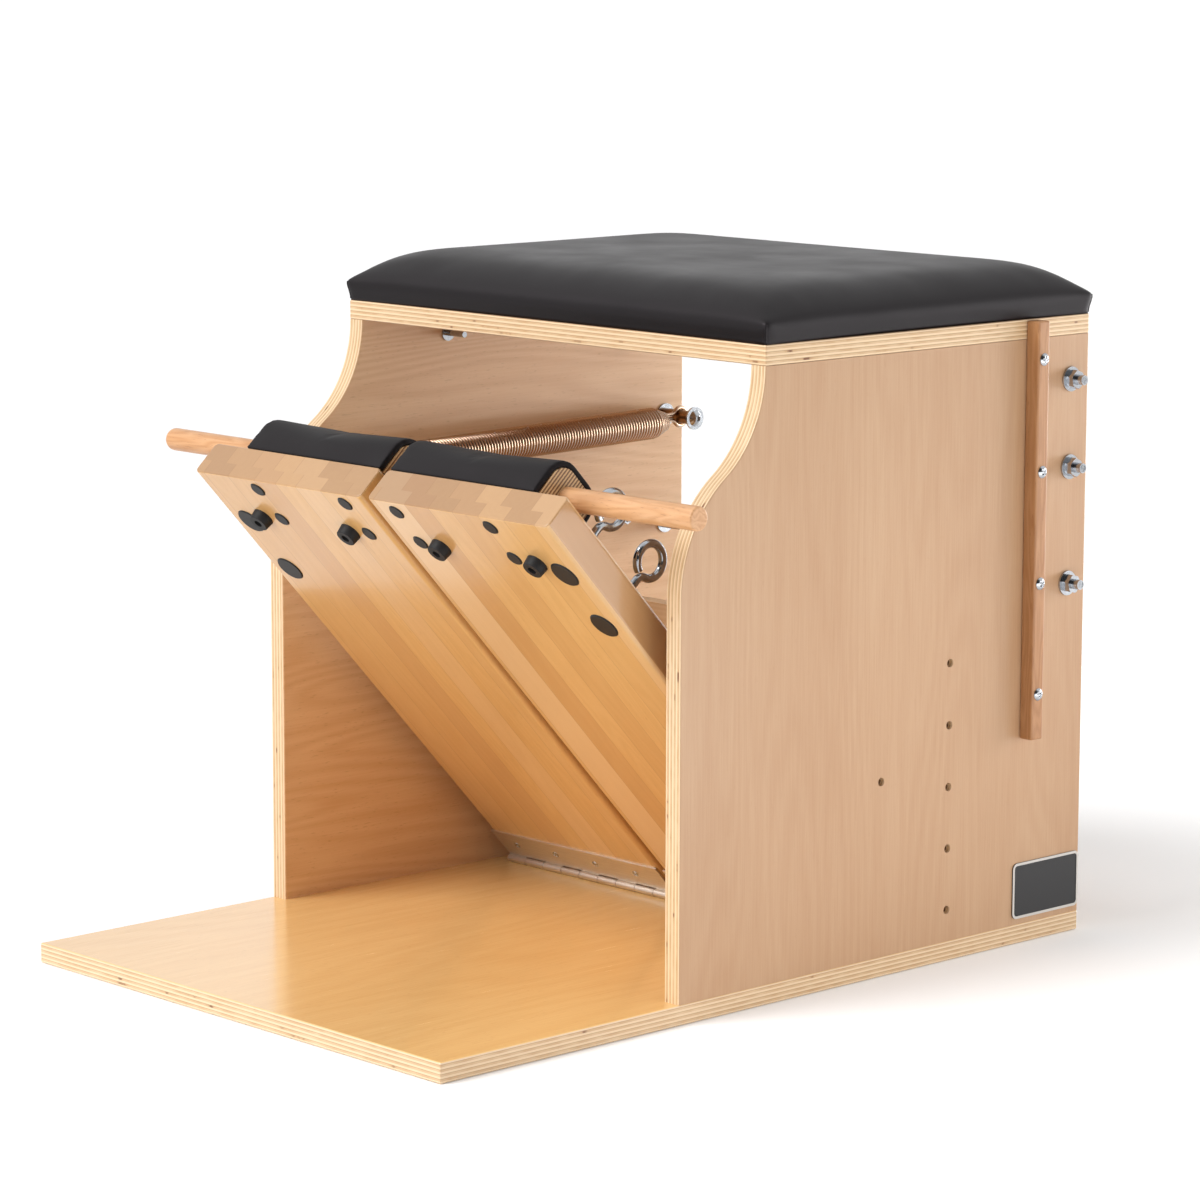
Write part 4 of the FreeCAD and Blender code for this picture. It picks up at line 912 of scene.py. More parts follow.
class WireTree(PieceTree):
    """Gives a path a round wire."""

    def __init__(self) -> None:
        """Names the wire's inputs."""
        super().__init__("round_wire", {"Wire radius": "NodeSocketFloat", "Sides": "NodeSocketInt"})

    def shape(self, tree: NodeTree, given: bpy.types.NodeOutputs) -> Node:
        """Draws a ring along the path.

        Args:
            tree: the tree.
            given: its inputs.

        Returns:
            The wire with smooth shading.
        """
        ring = add_node(
            tree, "GeometryNodeCurvePrimitiveCircle", {"Resolution": given["Sides"],
                                                       "Radius": given["Wire radius"]})
        skin = add_node(
            tree, "GeometryNodeCurveToMesh", {"Curve": given["Guide"], "Profile Curve": ring,
                                              "Fill Caps": True})
        return add_node(tree, "GeometryNodeSetShadeSmooth", {"Geometry": skin})

    def make(
        self, name: str, paths: Iterable[Sequence[Vector]], radius: float, finish: Finish, sides: int
    ) -> Object:
        """Makes a wire along paths.

        Args:
            name: the piece's name.
            paths: each path's points, in metres.
            radius: the wire's radius in metres.
            finish: its surface.
            sides: how many sides the wire has.

        Returns:
            The piece, as a plain mesh.
        """
        curve = bpy.data.curves.new(name + "_path", "CURVE")
        curve.dimensions = "3D"
        for points in paths:
            line = curve.splines.new("POLY")
            line.points.add(len(points) - 1)
            for spot, point in zip(line.points, points):
                spot.co = (*point, 1.0)
        guide = link_object(name + "_path", curve)
        return self.applied(
            name, guide, {"Wire radius": radius, "Sides": sides, "Finish": finish.material()})


class RowTree(PieceTree):
    """Sets one fastener on each point of a row, along the point's own direction."""

    def __init__(self) -> None:
        """Names the row's inputs."""
        super().__init__("fastener_row", {"Fastener": "NodeSocketObject", "Turn spread": "NodeSocketFloat",
                                          "Seed": "NodeSocketInt"})

    def shape(self, tree: NodeTree, given: bpy.types.NodeOutputs) -> Node:
        """Stands the fastener on each point and turns it by chance.

        Args:
            tree: the tree.
            given: its inputs.

        Returns:
            The row, as instances.
        """
        model = add_node(tree, "GeometryNodeObjectInfo", {"Object": given["Fastener"]}).outputs["Geometry"]
        aim = add_node(tree, "GeometryNodeInputNamedAttribute", {"Name": "aim"}, data_type="FLOAT_VECTOR")
        turn = add_node(
            tree, "FunctionNodeRandomValue", {"Max": given["Turn spread"], "Seed": given["Seed"]},
            data_type="FLOAT")
        stand = add_node(tree, "FunctionNodeAlignRotationToVector", {"Vector": aim}, axis="Z")
        spin = add_node(
            tree, "FunctionNodeAxisAngleToRotation", {"Axis": (0.0, 0.0, 1.0), "Angle": turn})
        both = add_node(
            tree, "FunctionNodeRotateRotation", {"Rotation": stand, "Rotate By": spin},
            rotation_space="LOCAL")
        return add_node(
            tree, "GeometryNodeInstanceOnPoints", {"Points": given["Guide"], "Instance": model,
                                                   "Rotation": both})

    def make(
        self, name: str, spots: Sequence[tuple[Vector, Vector]], pattern: Mesh, finish: Finish,
        spread: float = math.pi, seed: int = 3
    ) -> Object:
        """Makes a row of one fastener.

        Args:
            name: the piece's name.
            spots: each fastener's place and direction.
            pattern: the fastener, pointing along +Z.
            finish: its surface.
            spread: how far the fasteners are turned at most, in radians.
            seed: the turns' seed.

        Returns:
            The piece, as a plain mesh.
        """
        points = bpy.data.meshes.new(name + "_spots")
        points.from_pydata([spot for spot, _ in spots], [], [])
        aims = points.attributes.new("aim", "FLOAT_VECTOR", "POINT")
        aims.data.foreach_set("vector", [value for _, aim in spots for value in aim])
        guide = link_object(name + "_spots", points)
        model = link_object(name + "_pattern", pattern)
        piece = self.applied(name, guide, {"Fastener": model, "Turn spread": spread, "Seed": seed,
                                           "Finish": finish.material()})
        bpy.data.objects.remove(model)
        return piece


# Fastener patterns


def ring(shape: bmesh.types.BMesh, radii: Sequence[float], height: float) -> list[bmesh.types.BMVert]:
    """Adds a ring of points round +Z.

    Args:
        shape: the shape that gets them.
        radii: each point's distance from the middle, in mm.
        height: their height in mm.

    Returns:
        The points.
    """
    angles = [math.tau * i / len(radii) for i in range(len(radii))]
    return [shape.verts.new((radius * MM * math.cos(angle), radius * MM * math.sin(angle), height * MM))
            for radius, angle in zip(radii, angles)]


def ringed_mesh(
    name: str, shape: bmesh.types.BMesh, rings: Sequence[list[bmesh.types.BMVert]], sharp_degrees: float
) -> Mesh:
    """Closes a shape with faces from ring to ring.

    Args:
        name: the mesh's name.
        shape: the shape with its points.
        rings: the rings in order; a ring of one point is a tip.
        sharp_degrees: edges sharper than this stay crisp.

    Returns:
        The mesh.
    """
    segments = max(len(points) for points in rings)
    for low, high in zip(rings, rings[1:]):
        for i in range(segments):
            j = (i + 1) % segments
            corners = [low[i % len(low)], low[j % len(low)], high[j % len(high)], high[i % len(high)]]
            unique = list(dict.fromkeys(corners))
            if len(unique) > 2:
                shape.faces.new(unique)
    mesh = finished(shape, name)
    smooth(mesh)
    mesh.set_sharp_from_angle(angle=math.radians(sharp_degrees))
    return mesh


def turned_mesh(name: str, profile: Sequence[Pair], segments: int, sharp_degrees: float = 40) -> Mesh:
    """Makes a closed turned shape.

    Args:
        name: the mesh's name.
        profile: radius and height in mm, from the lower middle to the upper middle.
        segments: how many sides it has.
        sharp_degrees: edges sharper than this stay crisp.

    Returns:
        The mesh, along +Z.
    """
    shape = bmesh.new()
    rings = [ring(shape, [radius] * segments if radius else [0], height) for radius, height in profile]
    return ringed_mesh(name, shape, rings, sharp_degrees)


@dataclass(frozen=True)
class ScrewHead:
    """A domed screw or bolt with a cross recess: head, shank and point. Sizes in mm."""

    head: float
    rise: float
    shank: float
    length: float
    recess: float = 1.2
    point: float = 0.6
    point_share: float = 0.8
    rim_share: float = 0.18
    dome: tuple[float, ...] = (0.97, 0.9, 0.8, 0.7, 0.6, 0.52, 0.44, 0.36, 0.28, 0.2, 0.12, 0.05)
    arm_share: float = 0.58
    arm_width: float = 0.15
    above_share: float = 0.2
    floor_share: float = 0.1
    sides: int = 48

    def mesh(self, name: str) -> Mesh:
        """Makes the screw with its seat at the origin and its head up +Z.

        Args:
            name: the mesh's name.

        Returns:
            The mesh.
        """
        profile = [(0, -self.length), (self.shank * self.point_share, -self.length),
                   (self.shank, -self.length + self.point), (self.shank, 0), (self.head, 0),
                   (self.head, self.rise * self.rim_share)]
        arch = self.rise * (1 - self.rim_share)
        ball = (self.head ** 2 + arch ** 2) / (2 * arch)
        for share in self.dome:
            radius = self.head * share
            profile.append((radius, self.rise - ball + math.sqrt(ball ** 2 - radius ** 2)))
        profile.append((0, self.rise))
        mesh = turned_mesh(name, profile, self.sides)
        arm, width = self.head * self.arm_share * MM, self.head * self.arm_width * MM
        for vert in mesh.vertices:
            x, y, z = vert.co
            inside = min(abs(x), abs(y)) < width and max(abs(x), abs(y)) < arm
            if z > self.rise * self.above_share * MM and inside:
                vert.co.z = max(z - self.recess * MM, self.rise * self.floor_share * MM)
        return mesh


@dataclass(frozen=True)
class HexNut:
    """A plain nut: six flats with the corners turned off, and the bolt's threaded end. Sizes in mm."""

    radius: float
    height: float
    bore: float
    end: float
    pitch: float = 1.25
    trim: float = 0.93
    trim_share: float = 0.12
    sides: int = 48
    sharp_degrees: float = 25
    crest_gap: float = 0.02
    root_gap: float = 0.65
    end_bevel: float = 0.4
    thread_from: float = 0.6
    thread_sides: int = 32
    thread_sharp: float = 60

    def mesh(self, name: str) -> Mesh:
        """Makes the nut with its seat at the origin.

        Args:
            name: the mesh's name.

        Returns:
            The mesh.
        """
        shape = bmesh.new()
        sixth, flat = math.pi / 3, self.radius * math.cos(math.pi / 6)
        angles = [math.tau * i / self.sides for i in range(self.sides)]
        hexed = [flat / math.cos((angle + sixth / 2) % sixth - sixth / 2) for angle in angles]
        turned = [min(radius, self.radius * self.trim) for radius in hexed]
        bore = [self.bore] * self.sides
        low, high = self.height * self.trim_share, self.height * (1 - self.trim_share)
        levels = ((turned, 0), (hexed, low), (hexed, high), (turned, self.height), (bore, self.height),
                  (bore, 0))
        rings = [ring(shape, radii, height) for radii, height in levels]
        return ringed_mesh(name, shape, rings + rings[:1], self.sharp_degrees)

    def thread(self, name: str) -> Mesh:
        """Makes the threaded end that stands out of the nut.

        Args:
            name: the mesh's name.

        Returns:
            The mesh, with the nut's seat at the origin.
        """
        crest, root = self.bore - self.crest_gap, self.bore - self.root_gap
        height, top = self.height * self.thread_from, self.height + self.end
        profile = [(0, height), (root, height)]
        while height < top - self.pitch:
            profile += [(crest, height + self.pitch / 2), (root, height + self.pitch)]
            height += self.pitch
        profile += [(root - self.end_bevel, top), (0, top)]
        return turned_mesh(name, profile, self.thread_sides, self.thread_sharp)


# Soft pieces


@dataclass(frozen=True)
class Swelling:
    """How a pad is blown up: the pressure, and how far its skin may move, in mm."""

    pressure: float
    cap: float
    shrink: float
    frames: int = 20
    quality: int = 6
    stiffness: float = 25
    bending: float = 2


def copied_node(node: str, name: str) -> Object:
    """Copies a CAD node's mesh, joined up, into a new object.

    Args:
        node: the node's name.
        name: the new object's name.

    Returns:
        The new object.
    """
    shape = bmesh.new()
    shape.from_mesh(bpy.data.objects[node].data)
    bmesh.ops.remove_doubles(shape, verts=shape.verts, dist=1e-6)
    mesh = bpy.data.meshes.new(name)
    shape.to_mesh(mesh)
    shape.free()
    mesh.materials.clear()
    return link_object(name, mesh)


def remeshed(item: Object, voxel: float) -> None:
    """Remeshes an object evenly.

    Args:
        item: the object.
        voxel: the new mesh's spacing in mm.
    """
    change = item.modifiers.new("even", "REMESH")
    change.mode = "VOXEL"
    change.voxel_size = voxel * MM
    settle(item)


def blown_places(item: Object, how: Swelling, held: Sequence[int]) -> list[Vector]:
    """Blows a pad up with cloth under pressure.

    Args:
        item: the pad.
        how: the pressure and the cloth.
        held: points that stay where they are.

    Returns:
        Where each point went.
    """
    group = item.vertex_groups.new(name="held")
    group.add(list(held), 1.0, "REPLACE")
    cloth = item.modifiers.new("cloth", "CLOTH")
    cloth.settings.use_pressure = True
    cloth.settings.uniform_pressure_force = how.pressure
    cloth.settings.effector_weights.gravity = 0
    cloth.settings.vertex_group_mass = "held"
    cloth.settings.quality = how.quality
    cloth.settings.tension_stiffness = how.stiffness
    cloth.settings.compression_stiffness = how.stiffness
    cloth.settings.bending_stiffness = how.bending
    cloth.point_cache.frame_start = 1
    cloth.point_cache.frame_end = how.frames
    scene = bpy.context.scene
    for frame in range(1, how.frames + 1):
        scene.frame_set(frame)
    blown = settled_mesh(item, item.name + "_blown")
    places = [vert.co.copy() for vert in blown.vertices]
    item.modifiers.clear()
    item.vertex_groups.clear()
    scene.frame_set(1)
    bpy.data.meshes.remove(blown)
    return places


def swell(item: Object, how: Swelling, held: Sequence[int]) -> None:
    """Draws a pad's skin in, blows it up, then limits how far each point went.

    Args:
        item: the pad, with an even mesh.
        how: the pressure and limits.
        held: points that stay where they are.
    """
    start = [vert.co.copy() for vert in item.data.vertices]
    normals = [vert.normal.copy() for vert in item.data.vertices]
    fixed = set(held)
    for vert in item.data.vertices:
        if vert.index not in fixed:
            vert.co = start[vert.index] - normals[vert.index] * how.shrink * MM
    places = blown_places(item, how, held)
    for vert in item.data.vertices:
        move = places[vert.index] - start[vert.index]
        if move.length > how.cap * MM:
            move *= how.cap * MM / move.length
        vert.co = start[vert.index] + move


def softened(item: Object, rounds: int, held: Sequence[int], share: float = 0.5) -> None:
    """Evens out a soft surface.

    Args:
        item: the pad.
        rounds: how many passes.
        held: points that stay.
        share: how far each point goes to its neighbours' middle.
    """
    shape = bmesh.new()
    shape.from_mesh(item.data)
    fixed = set(held)
    free = [vert for vert in shape.verts if vert.index not in fixed]
    for _ in range(rounds):
        bmesh.ops.smooth_vert(
            shape, verts=free, factor=share, use_axis_x=True, use_axis_y=True, use_axis_z=True)
    shape.to_mesh(item.data)
    shape.free()


def subdivided(item: Object) -> None:
    """Subdivides a pad once and shades it smooth.

    Args:
        item: the pad.
    """
    change = item.modifiers.new("fine", "SUBSURF")
    change.levels = 1
    change.render_levels = 1
    settle(item)
    smooth(item.data)


def closed_below(mesh: Mesh) -> None:
    """Closes a skin's open underside with one flat face.

    Args:
        mesh: the skin.
    """
    shape = bmesh.new()
    shape.from_mesh(mesh)
    bmesh.ops.edgeloop_fill(shape, edges=[edge for edge in shape.edges if edge.is_boundary])
    bmesh.ops.recalc_face_normals(shape, faces=shape.faces)
    shape.to_mesh(mesh)
    shape.free()


# Sub-assemblies


@dataclass
class Seat:
    """The padded seat: vinyl over foam, full in the middle, with a seam up each corner. Sizes in mm."""

    under: float = 608
    wall: float = 21
    wall_rows: tuple[float, ...] = (0.75, 0.5, 0.25, 0.0)
    crown: float = 28.5
    shoulder: float = 125
    fullness: float = 4.9
    half_width: float = 296.5
    half_depth: float = 227.5
    middle_y: float = 194
    draw_in: float = 3
    tuck: float = 6.5
    tuck_power: float = 1.6
    spacing: float = 6
    held_height: float = 1
    swelling: Swelling = Swelling(2.5, 2, 0.6)
    rounds: int = 4
    seam: float = 1.0
    seam_sides: int = 8
    seam_steps: int = 11
    seam_foot: float = 1.5
    seam_short: float = 4
    seam_probe: float = 50
    seam_sink: float = 0.2

    def build(self, wires: WireTree) -> list[Object]:
        """Makes the cover and its seams.

        Args:
            wires: the tree that gives a seam its cord.

        Returns:
            The pieces.
        """
        cover = link_object("seat_cover", self.form("seat_cover"))
        low = (self.under + self.held_height) * MM
        held = [vert.index for vert in cover.data.vertices if vert.co.z < low]
        swell(cover, self.swelling, held)
        softened(cover, self.rounds, held)
        subdivided(cover)
        closed_below(cover.data)
        paint(cover, VINYL.material())
        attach(cover, "frame")
        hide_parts("seat_pad")
        paths = self.seam_paths(cover)
        seams = wires.make("seat_seams", paths, self.seam * MM, VINYL, self.seam_sides)
        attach(seams, "frame")
        return [cover, seams]

    def spot(self, u: float, v: float, inset: float, height: float) -> Vector:
        """Gives a point of the cover, whose sides are drawn in between the corners.

        Args:
            u: across, from -1 to 1.
            v: from front to rear, from -1 to 1.
            inset: how far the outline is drawn in.
            height: above the seat board.

        Returns:
            The point in metres.
        """
        x = u * (self.half_width - inset - self.draw_in * (1 - v * v))
        y = v * (self.half_depth - inset - self.draw_in * (1 - u * u))
        return Vector((x, self.middle_y + y, self.under + height)) * MM

    def rise(self, gap: float) -> float:
        """Tells how much of the crown stands at a distance from an edge."""
        return 1 - max(0.0, 1 - gap / self.shoulder) ** self.fullness

    def form(self, name: str) -> Mesh:
        """Makes the cushion's skin: a crowned top and a tucked-in wall, open below.

        Args:
            name: the mesh's name.

        Returns:
            The mesh.
        """
        wide = round(2 * self.half_width / self.spacing)
        deep = round(2 * self.half_depth / self.spacing)
        shape = bmesh.new()
        top = []
        for i in range(wide + 1):
            u = 2 * i / wide - 1
            column = []
            for j in range(deep + 1):
                v = 2 * j / deep - 1
                full = self.rise(self.half_width * (1 - abs(u))) * self.rise(self.half_depth * (1 - abs(v)))
                column.append(shape.verts.new(self.spot(u, v, 0, self.wall + self.crown * full)))
            top.append(column)
        for i in range(wide):
            for j in range(deep):
                shape.faces.new((top[i][j], top[i + 1][j], top[i + 1][j + 1], top[i][j + 1]))
        rim = [(i, 0) for i in range(wide)] + [(wide, j) for j in range(deep)]
        rim += [(i, deep) for i in range(wide, 0, -1)] + [(0, j) for j in range(deep, 0, -1)]
        above = [top[i][j] for i, j in rim]
        for share in self.wall_rows:
            inset = self.tuck * (1 - share) ** self.tuck_power
            row = [shape.verts.new(self.spot(2 * i / wide - 1, 2 * j / deep - 1, inset, self.wall * share))
                   for i, j in rim]
            for k, vert in enumerate(row):
                after = (k + 1) % len(row)
                shape.faces.new((above[after], above[k], vert, row[after]))
            above = row
        return finished(shape, name)

    def seam_paths(self, cover: Object) -> list[list[Vector]]:
        """Finds each corner's line on the cover.

        Args:
            cover: the finished cover.

        Returns:
            A path for each corner.
        """
        skin = surface(cover.data)
        paths = []
        for x, y in [(x, y) for x in SIDES.values() for y in SIDES.values()]:
            corner = self.spot(x, y, 0, 0)
            inward = Vector((-x, -y, 0)).normalized()
            path = []
            for step in range(self.seam_steps + 1):
                rise = self.seam_foot + step * (self.wall - self.seam_short) / self.seam_steps
                origin = Vector((corner.x, corner.y, (self.under + rise) * MM))
                hit = skin.ray_cast(origin - inward * self.seam_probe * MM, inward)[0]
                if hit is not None:
                    path.append(hit + inward * self.seam_sink * self.seam * MM)
            if len(path) > 2:
                paths.append(path)
        log.info("seat seams: %d", len(paths))
        return paths


@dataclass
class Bolster:
    """The padding wrapped over one pedal's bolster core. Sizes in mm."""

    side: str
    spacing: float = 2.5
    held_gap: float = 2
    swelling: Swelling = Swelling(6, 4, 0.4)
    rounds: int = 3

    def build(self) -> list[Object]:
        """Makes the wrap, held where it lies on the core and the pedal.

        Returns:
            The piece, in a list.
        """
        wrap = copied_node(f"bolster_pad_{self.side}", f"bolster_wrap_{self.side}")
        nodes = [f"{name}_{self.side}" for name in ("bolster_core", "pedal")]
        backing = [surface(bpy.data.objects[node].data) for node in nodes]
        remeshed(wrap, self.spacing)
        held = [vert.index for vert in wrap.data.vertices
                if any(skin.find_nearest(vert.co)[3] < self.held_gap * MM for skin in backing)]
        swell(wrap, self.swelling, held)
        softened(wrap, self.rounds, held)
        subdivided(wrap)
        paint(wrap, FOAM.material())
        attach(wrap, f"pedal_{self.side}")
        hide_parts(f"bolster_pad_{self.side}")
        return [wrap]


@dataclass
class Spring:
    """The extension spring: fine coil, drawn-in ends and the hook in the pedal's eye. Sizes in mm.

    It hangs a little slack: the coil sags below the post, and the hook lies low in the eye. The hook's
    long shank keeps the coil clear of the lower eye when the pedals are down.
    """

    post: Triple = (-248.0, 389.0, 461.5)
    eye: Triple = (-222.0, -151.8555, 464.3966)
    eye_radius: float = 16
    eye_wire: float = 4
    hook: float = 9
    cad_wire: float = 2.25
    eye_gap: float = 0.5
    wire: float = 1.8
    wire_sides: int = 12
    radius: float = 14.75
    tip: float = 7.9
    start: float = 24
    sag: float = 3
    hang: float = 45
    hook_reach: float = 66
    hook_lead: float = 0.35
    hook_turn: float = 225
    hook_steps: int = 30
    shank_steps: int = 12
    pitch: float = 3.95
    part_turn: float = 0.25
    cone_turns: float = 5
    steps: int = 24

    def path(self) -> list[Vector]:
        """Works out the wire's line.

        Returns:
            Its points in metres, from the post to the eye.
        """
        post, eye = Vector(self.post) - Vector((0, 0, self.sag)), Vector(self.eye)
        hang = math.radians(self.hang)
        toward = Vector((0, -math.cos(hang), math.sin(hang)))
        across = Vector((1, 0, 0))
        end = eye - toward * (self.eye_radius + self.hook - self.cad_wire - self.eye_wire - self.eye_gap)
        along = (end - post).normalized()
        side = (across - along * along.x).normalized()
        up = along.cross(side)
        wound = (end - post).length - self.start - self.hook_reach
        turns = math.floor(wound / self.pitch) - self.part_turn
        points = []
        count = int(turns * self.steps)
        for step in range(count + 1):
            turn = turns * step / count
            share = min(1.0, turn / self.cone_turns, (turns - turn) / self.cone_turns)
            radius = self.tip + (self.radius - self.tip) * share
            angle = math.pi / 2 + math.tau * turn
            points.append(post + (side * math.cos(angle) + up * math.sin(angle)) * radius
                          + along * (self.start + wound * turn / turns))
        first, goal = points[-1], end + across * self.hook
        lead, trail = first + along * self.hook_lead * self.hook_reach, goal - toward * self.hook
        for step in range(1, self.shank_steps):
            share = step / self.shank_steps
            rest = 1 - share
            points.append(first * rest ** 3 + lead * 3 * rest ** 2 * share
                          + trail * 3 * rest * share ** 2 + goal * share ** 3)
        for step in range(self.hook_steps + 1):
            angle = math.radians(self.hook_turn) * step / self.hook_steps
            points.append(end + (across * math.cos(angle) + toward * math.sin(angle)) * self.hook)
        return [point * MM for point in points]

    def build(self, wires: WireTree) -> list[Object]:
        """Makes the spring, which stretches between its swivel and the hook's shank.

        Args:
            wires: the tree that gives the path its wire.

        Returns:
            The piece, in a list.
        """
        path = self.path()
        piece = wires.make("wound_spring", [path], self.wire * MM, BRONZE, self.wire_sides)
        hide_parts("pedal_spring")
        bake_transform(piece)
        return [piece]


@dataclass
class Fasteners:
    """Bolts, nuts and hinge screws that show their drives and threads, and the bumpers. Sizes in mm."""

    bolt: ScrewHead = ScrewHead(6, 3.4, 2.5, 41)
    batten_y: float = 332
    batten_x: float = 306
    batten_z: tuple[float, ...] = (247.5, 355.167, 462.833, 570.5)
    nut: HexNut = HexNut(9.4, 8, 4.87, 8)
    nut_x: float = 292
    nut_seed: int = 5
    post_y: float = 389
    post_z: tuple[float, ...] = (348, 461.5, 546.5)
    screw: ScrewHead = ScrewHead(3.8, 1.3, 1.9, 16, recess=0.8)
    leaf_x: tuple[float, ...] = (46, 104.667, 163.333, 222)
    leaf_reach: float = 24
    leaf_top: float = 20.6
    leaf_n: float = 2.4
    bumper: tuple[Pair, ...] = ((0, 0), (10.8, 0), (9.8, 8.6), (9.2, 9.2), (4.3, 9.2), (4.3, 3.9), (0, 3.9))
    bumper_sides: int = 48
    bumper_x: tuple[float, ...] = (64.5, 193.75)
    bumper_n: float = 4
    bumper_s: float = 538.5

    def sideways(self, x: float, y: float, heights: Sequence[float]) -> list[tuple[Vector, Vector]]:
        """Gives places on both sides of the chair that point outwards.

        Args:
            x: how far out they are.
            y: how far back.
            heights: how high each one is.

        Returns:
            Each place and its direction.
        """
        return [(Vector((sign * x, y, z)) * MM, Vector((sign, 0, 0)))
                for sign in SIDES.values() for z in heights]

    def build(self, rows: RowTree) -> list[Object]:
        """Makes every row.

        Args:
            rows: the tree that sets a fastener on each point.

        Returns:
            The pieces.
        """
        spots = self.sideways(self.batten_x, self.batten_y, self.batten_z)
        battens = rows.make("batten_bolt_row", spots, self.bolt.mesh("batten_bolt"), ZINC)
        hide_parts("batten_bolts")
        spots = self.sideways(self.nut_x, self.post_y, self.post_z)
        nut, thread = self.nut.mesh("post_nut"), self.nut.thread("post_thread")
        nuts = rows.make("post_nut_row", spots, nut, ZINC, math.pi / 3, self.nut_seed)
        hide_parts("post_nuts")
        threads = rows.make("post_thread_row", spots, thread, ZINC, 0.0, self.nut_seed)
        screw = self.screw.mesh("leaf_screw")
        spots = [(Vector((sign * x, HINGE_Y + self.leaf_reach, self.leaf_top)) * MM, Vector((0, 0, 1)))
                 for sign in SIDES.values() for x in self.leaf_x]
        leaves = rows.make("hinge_base_screw_row", spots, screw, ZINC)
        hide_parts("hinge_base_screws")
        made = [battens, nuts, threads, leaves]
        for piece in made:
            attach(piece, "frame")
        for side, sign in SIDES.items():
            spots = [(on_pedal(sign * x, self.leaf_n, self.leaf_reach), pedal_way(-1, 0))
                     for x in self.leaf_x]
            piece = rows.make(f"hinge_pedal_screw_row_{side}", spots, screw, ZINC)
            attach(piece, f"pedal_{side}")
            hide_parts(f"hinge_pedal_screws_{side}")
            made.append(piece)
        bumper = turned_mesh("bumper", self.bumper, self.bumper_sides)
        for side, sign in SIDES.items():
            spots = [(on_pedal(sign * x, self.bumper_n, self.bumper_s), pedal_way(-1, 0))
                     for x in self.bumper_x]
            piece = rows.make(f"bumper_row_{side}", spots, bumper, RUBBER)
            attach(piece, f"pedal_{side}")
            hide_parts(f"bumpers_{side}")
            made.append(piece)
        return made


@dataclass
class CarriedPieces:
    """The frame's own pieces, and the finish that each one takes."""

    nodes: dict[str, Object]

    def dress(self) -> int:
        """Gives each piece its finish.

        Returns:
            How many pieces were dressed.
        """
        both = {
            "pedal": PEDAL_STRIPS, "hinge_pedal_leaf": HINGE_STEEL, "hinge_base_leaf": HINGE_STEEL,
            "hinge_pin": HINGE_STEEL, "hinge_pedal_screws": ZINC, "bolster_core": CORE,
            "bolster_pad": FOAM, "bolster_screws": ZINC, "screw_plugs": PLASTIC, "bumpers": RUBBER,
            "bumper_screws": ZINC, "eye_bolts": ZINC, "eye_nuts": ZINC, "nut_plugs": PLASTIC,
            "batten": BEECH_BATTEN,
        }
        finishes: dict[str, Finish] = {
            "base_board": PLY_BASE, "side_panel_left": PLY_LEFT, "side_panel_right": PLY_RIGHT,
            "seat_board": PLY_SEAT, "pad_board": PLY_PAD, "seat_pad": VINYL, "cross_panel": PLY_CROSS,
            "stop_rail": BEECH_DOWEL, "panel_screws": BROWN_SCREW, "base_screws": ZINC,
            "seat_board_screws": ZINC, "pad_screws": ZINC, "batten_bolts": ZINC, "batten_nuts": ZINC,
            "post_bolts": ZINC, "post_sleeves": SLEEVE_BRONZE, "post_washers": ZINC, "post_nuts": ZINC,
            "storage_peg": ZINC, "blank_plate": PLATE, "hinge_base_screws": ZINC,
            "locking_dowel": BEECH_DOWEL, "spring_loop": BRONZE, "pedal_spring": BRONZE,
        }
        for side in SIDES:
            finishes.update({f"{name}_{side}": finish for name, finish in both.items()})
        for name, item in self.nodes.items():
            paint(item, finishes[name].material())
        return len(self.nodes)


@dataclass(frozen=True)
class SoftLamp:
    """A square lamp that faces the chair: its place and side in metres, and its power in watts."""

    name: str
    spot: Triple
    side: float
    watts: float

    def hang(self, target: Vector) -> None:
        """Adds the lamp.

        Args:
            target: the point that it faces.
        """
        data = bpy.data.lights.new(self.name, "AREA")
        data.shape = "SQUARE"
        data.size = self.side
        data.energy = self.watts
        lamp = link_object(self.name, data)
        lamp.location = self.spot
        lamp.rotation_mode = "QUATERNION"
        lamp.rotation_quaternion = (target - Vector(self.spot)).to_track_quat("-Z", "Y")


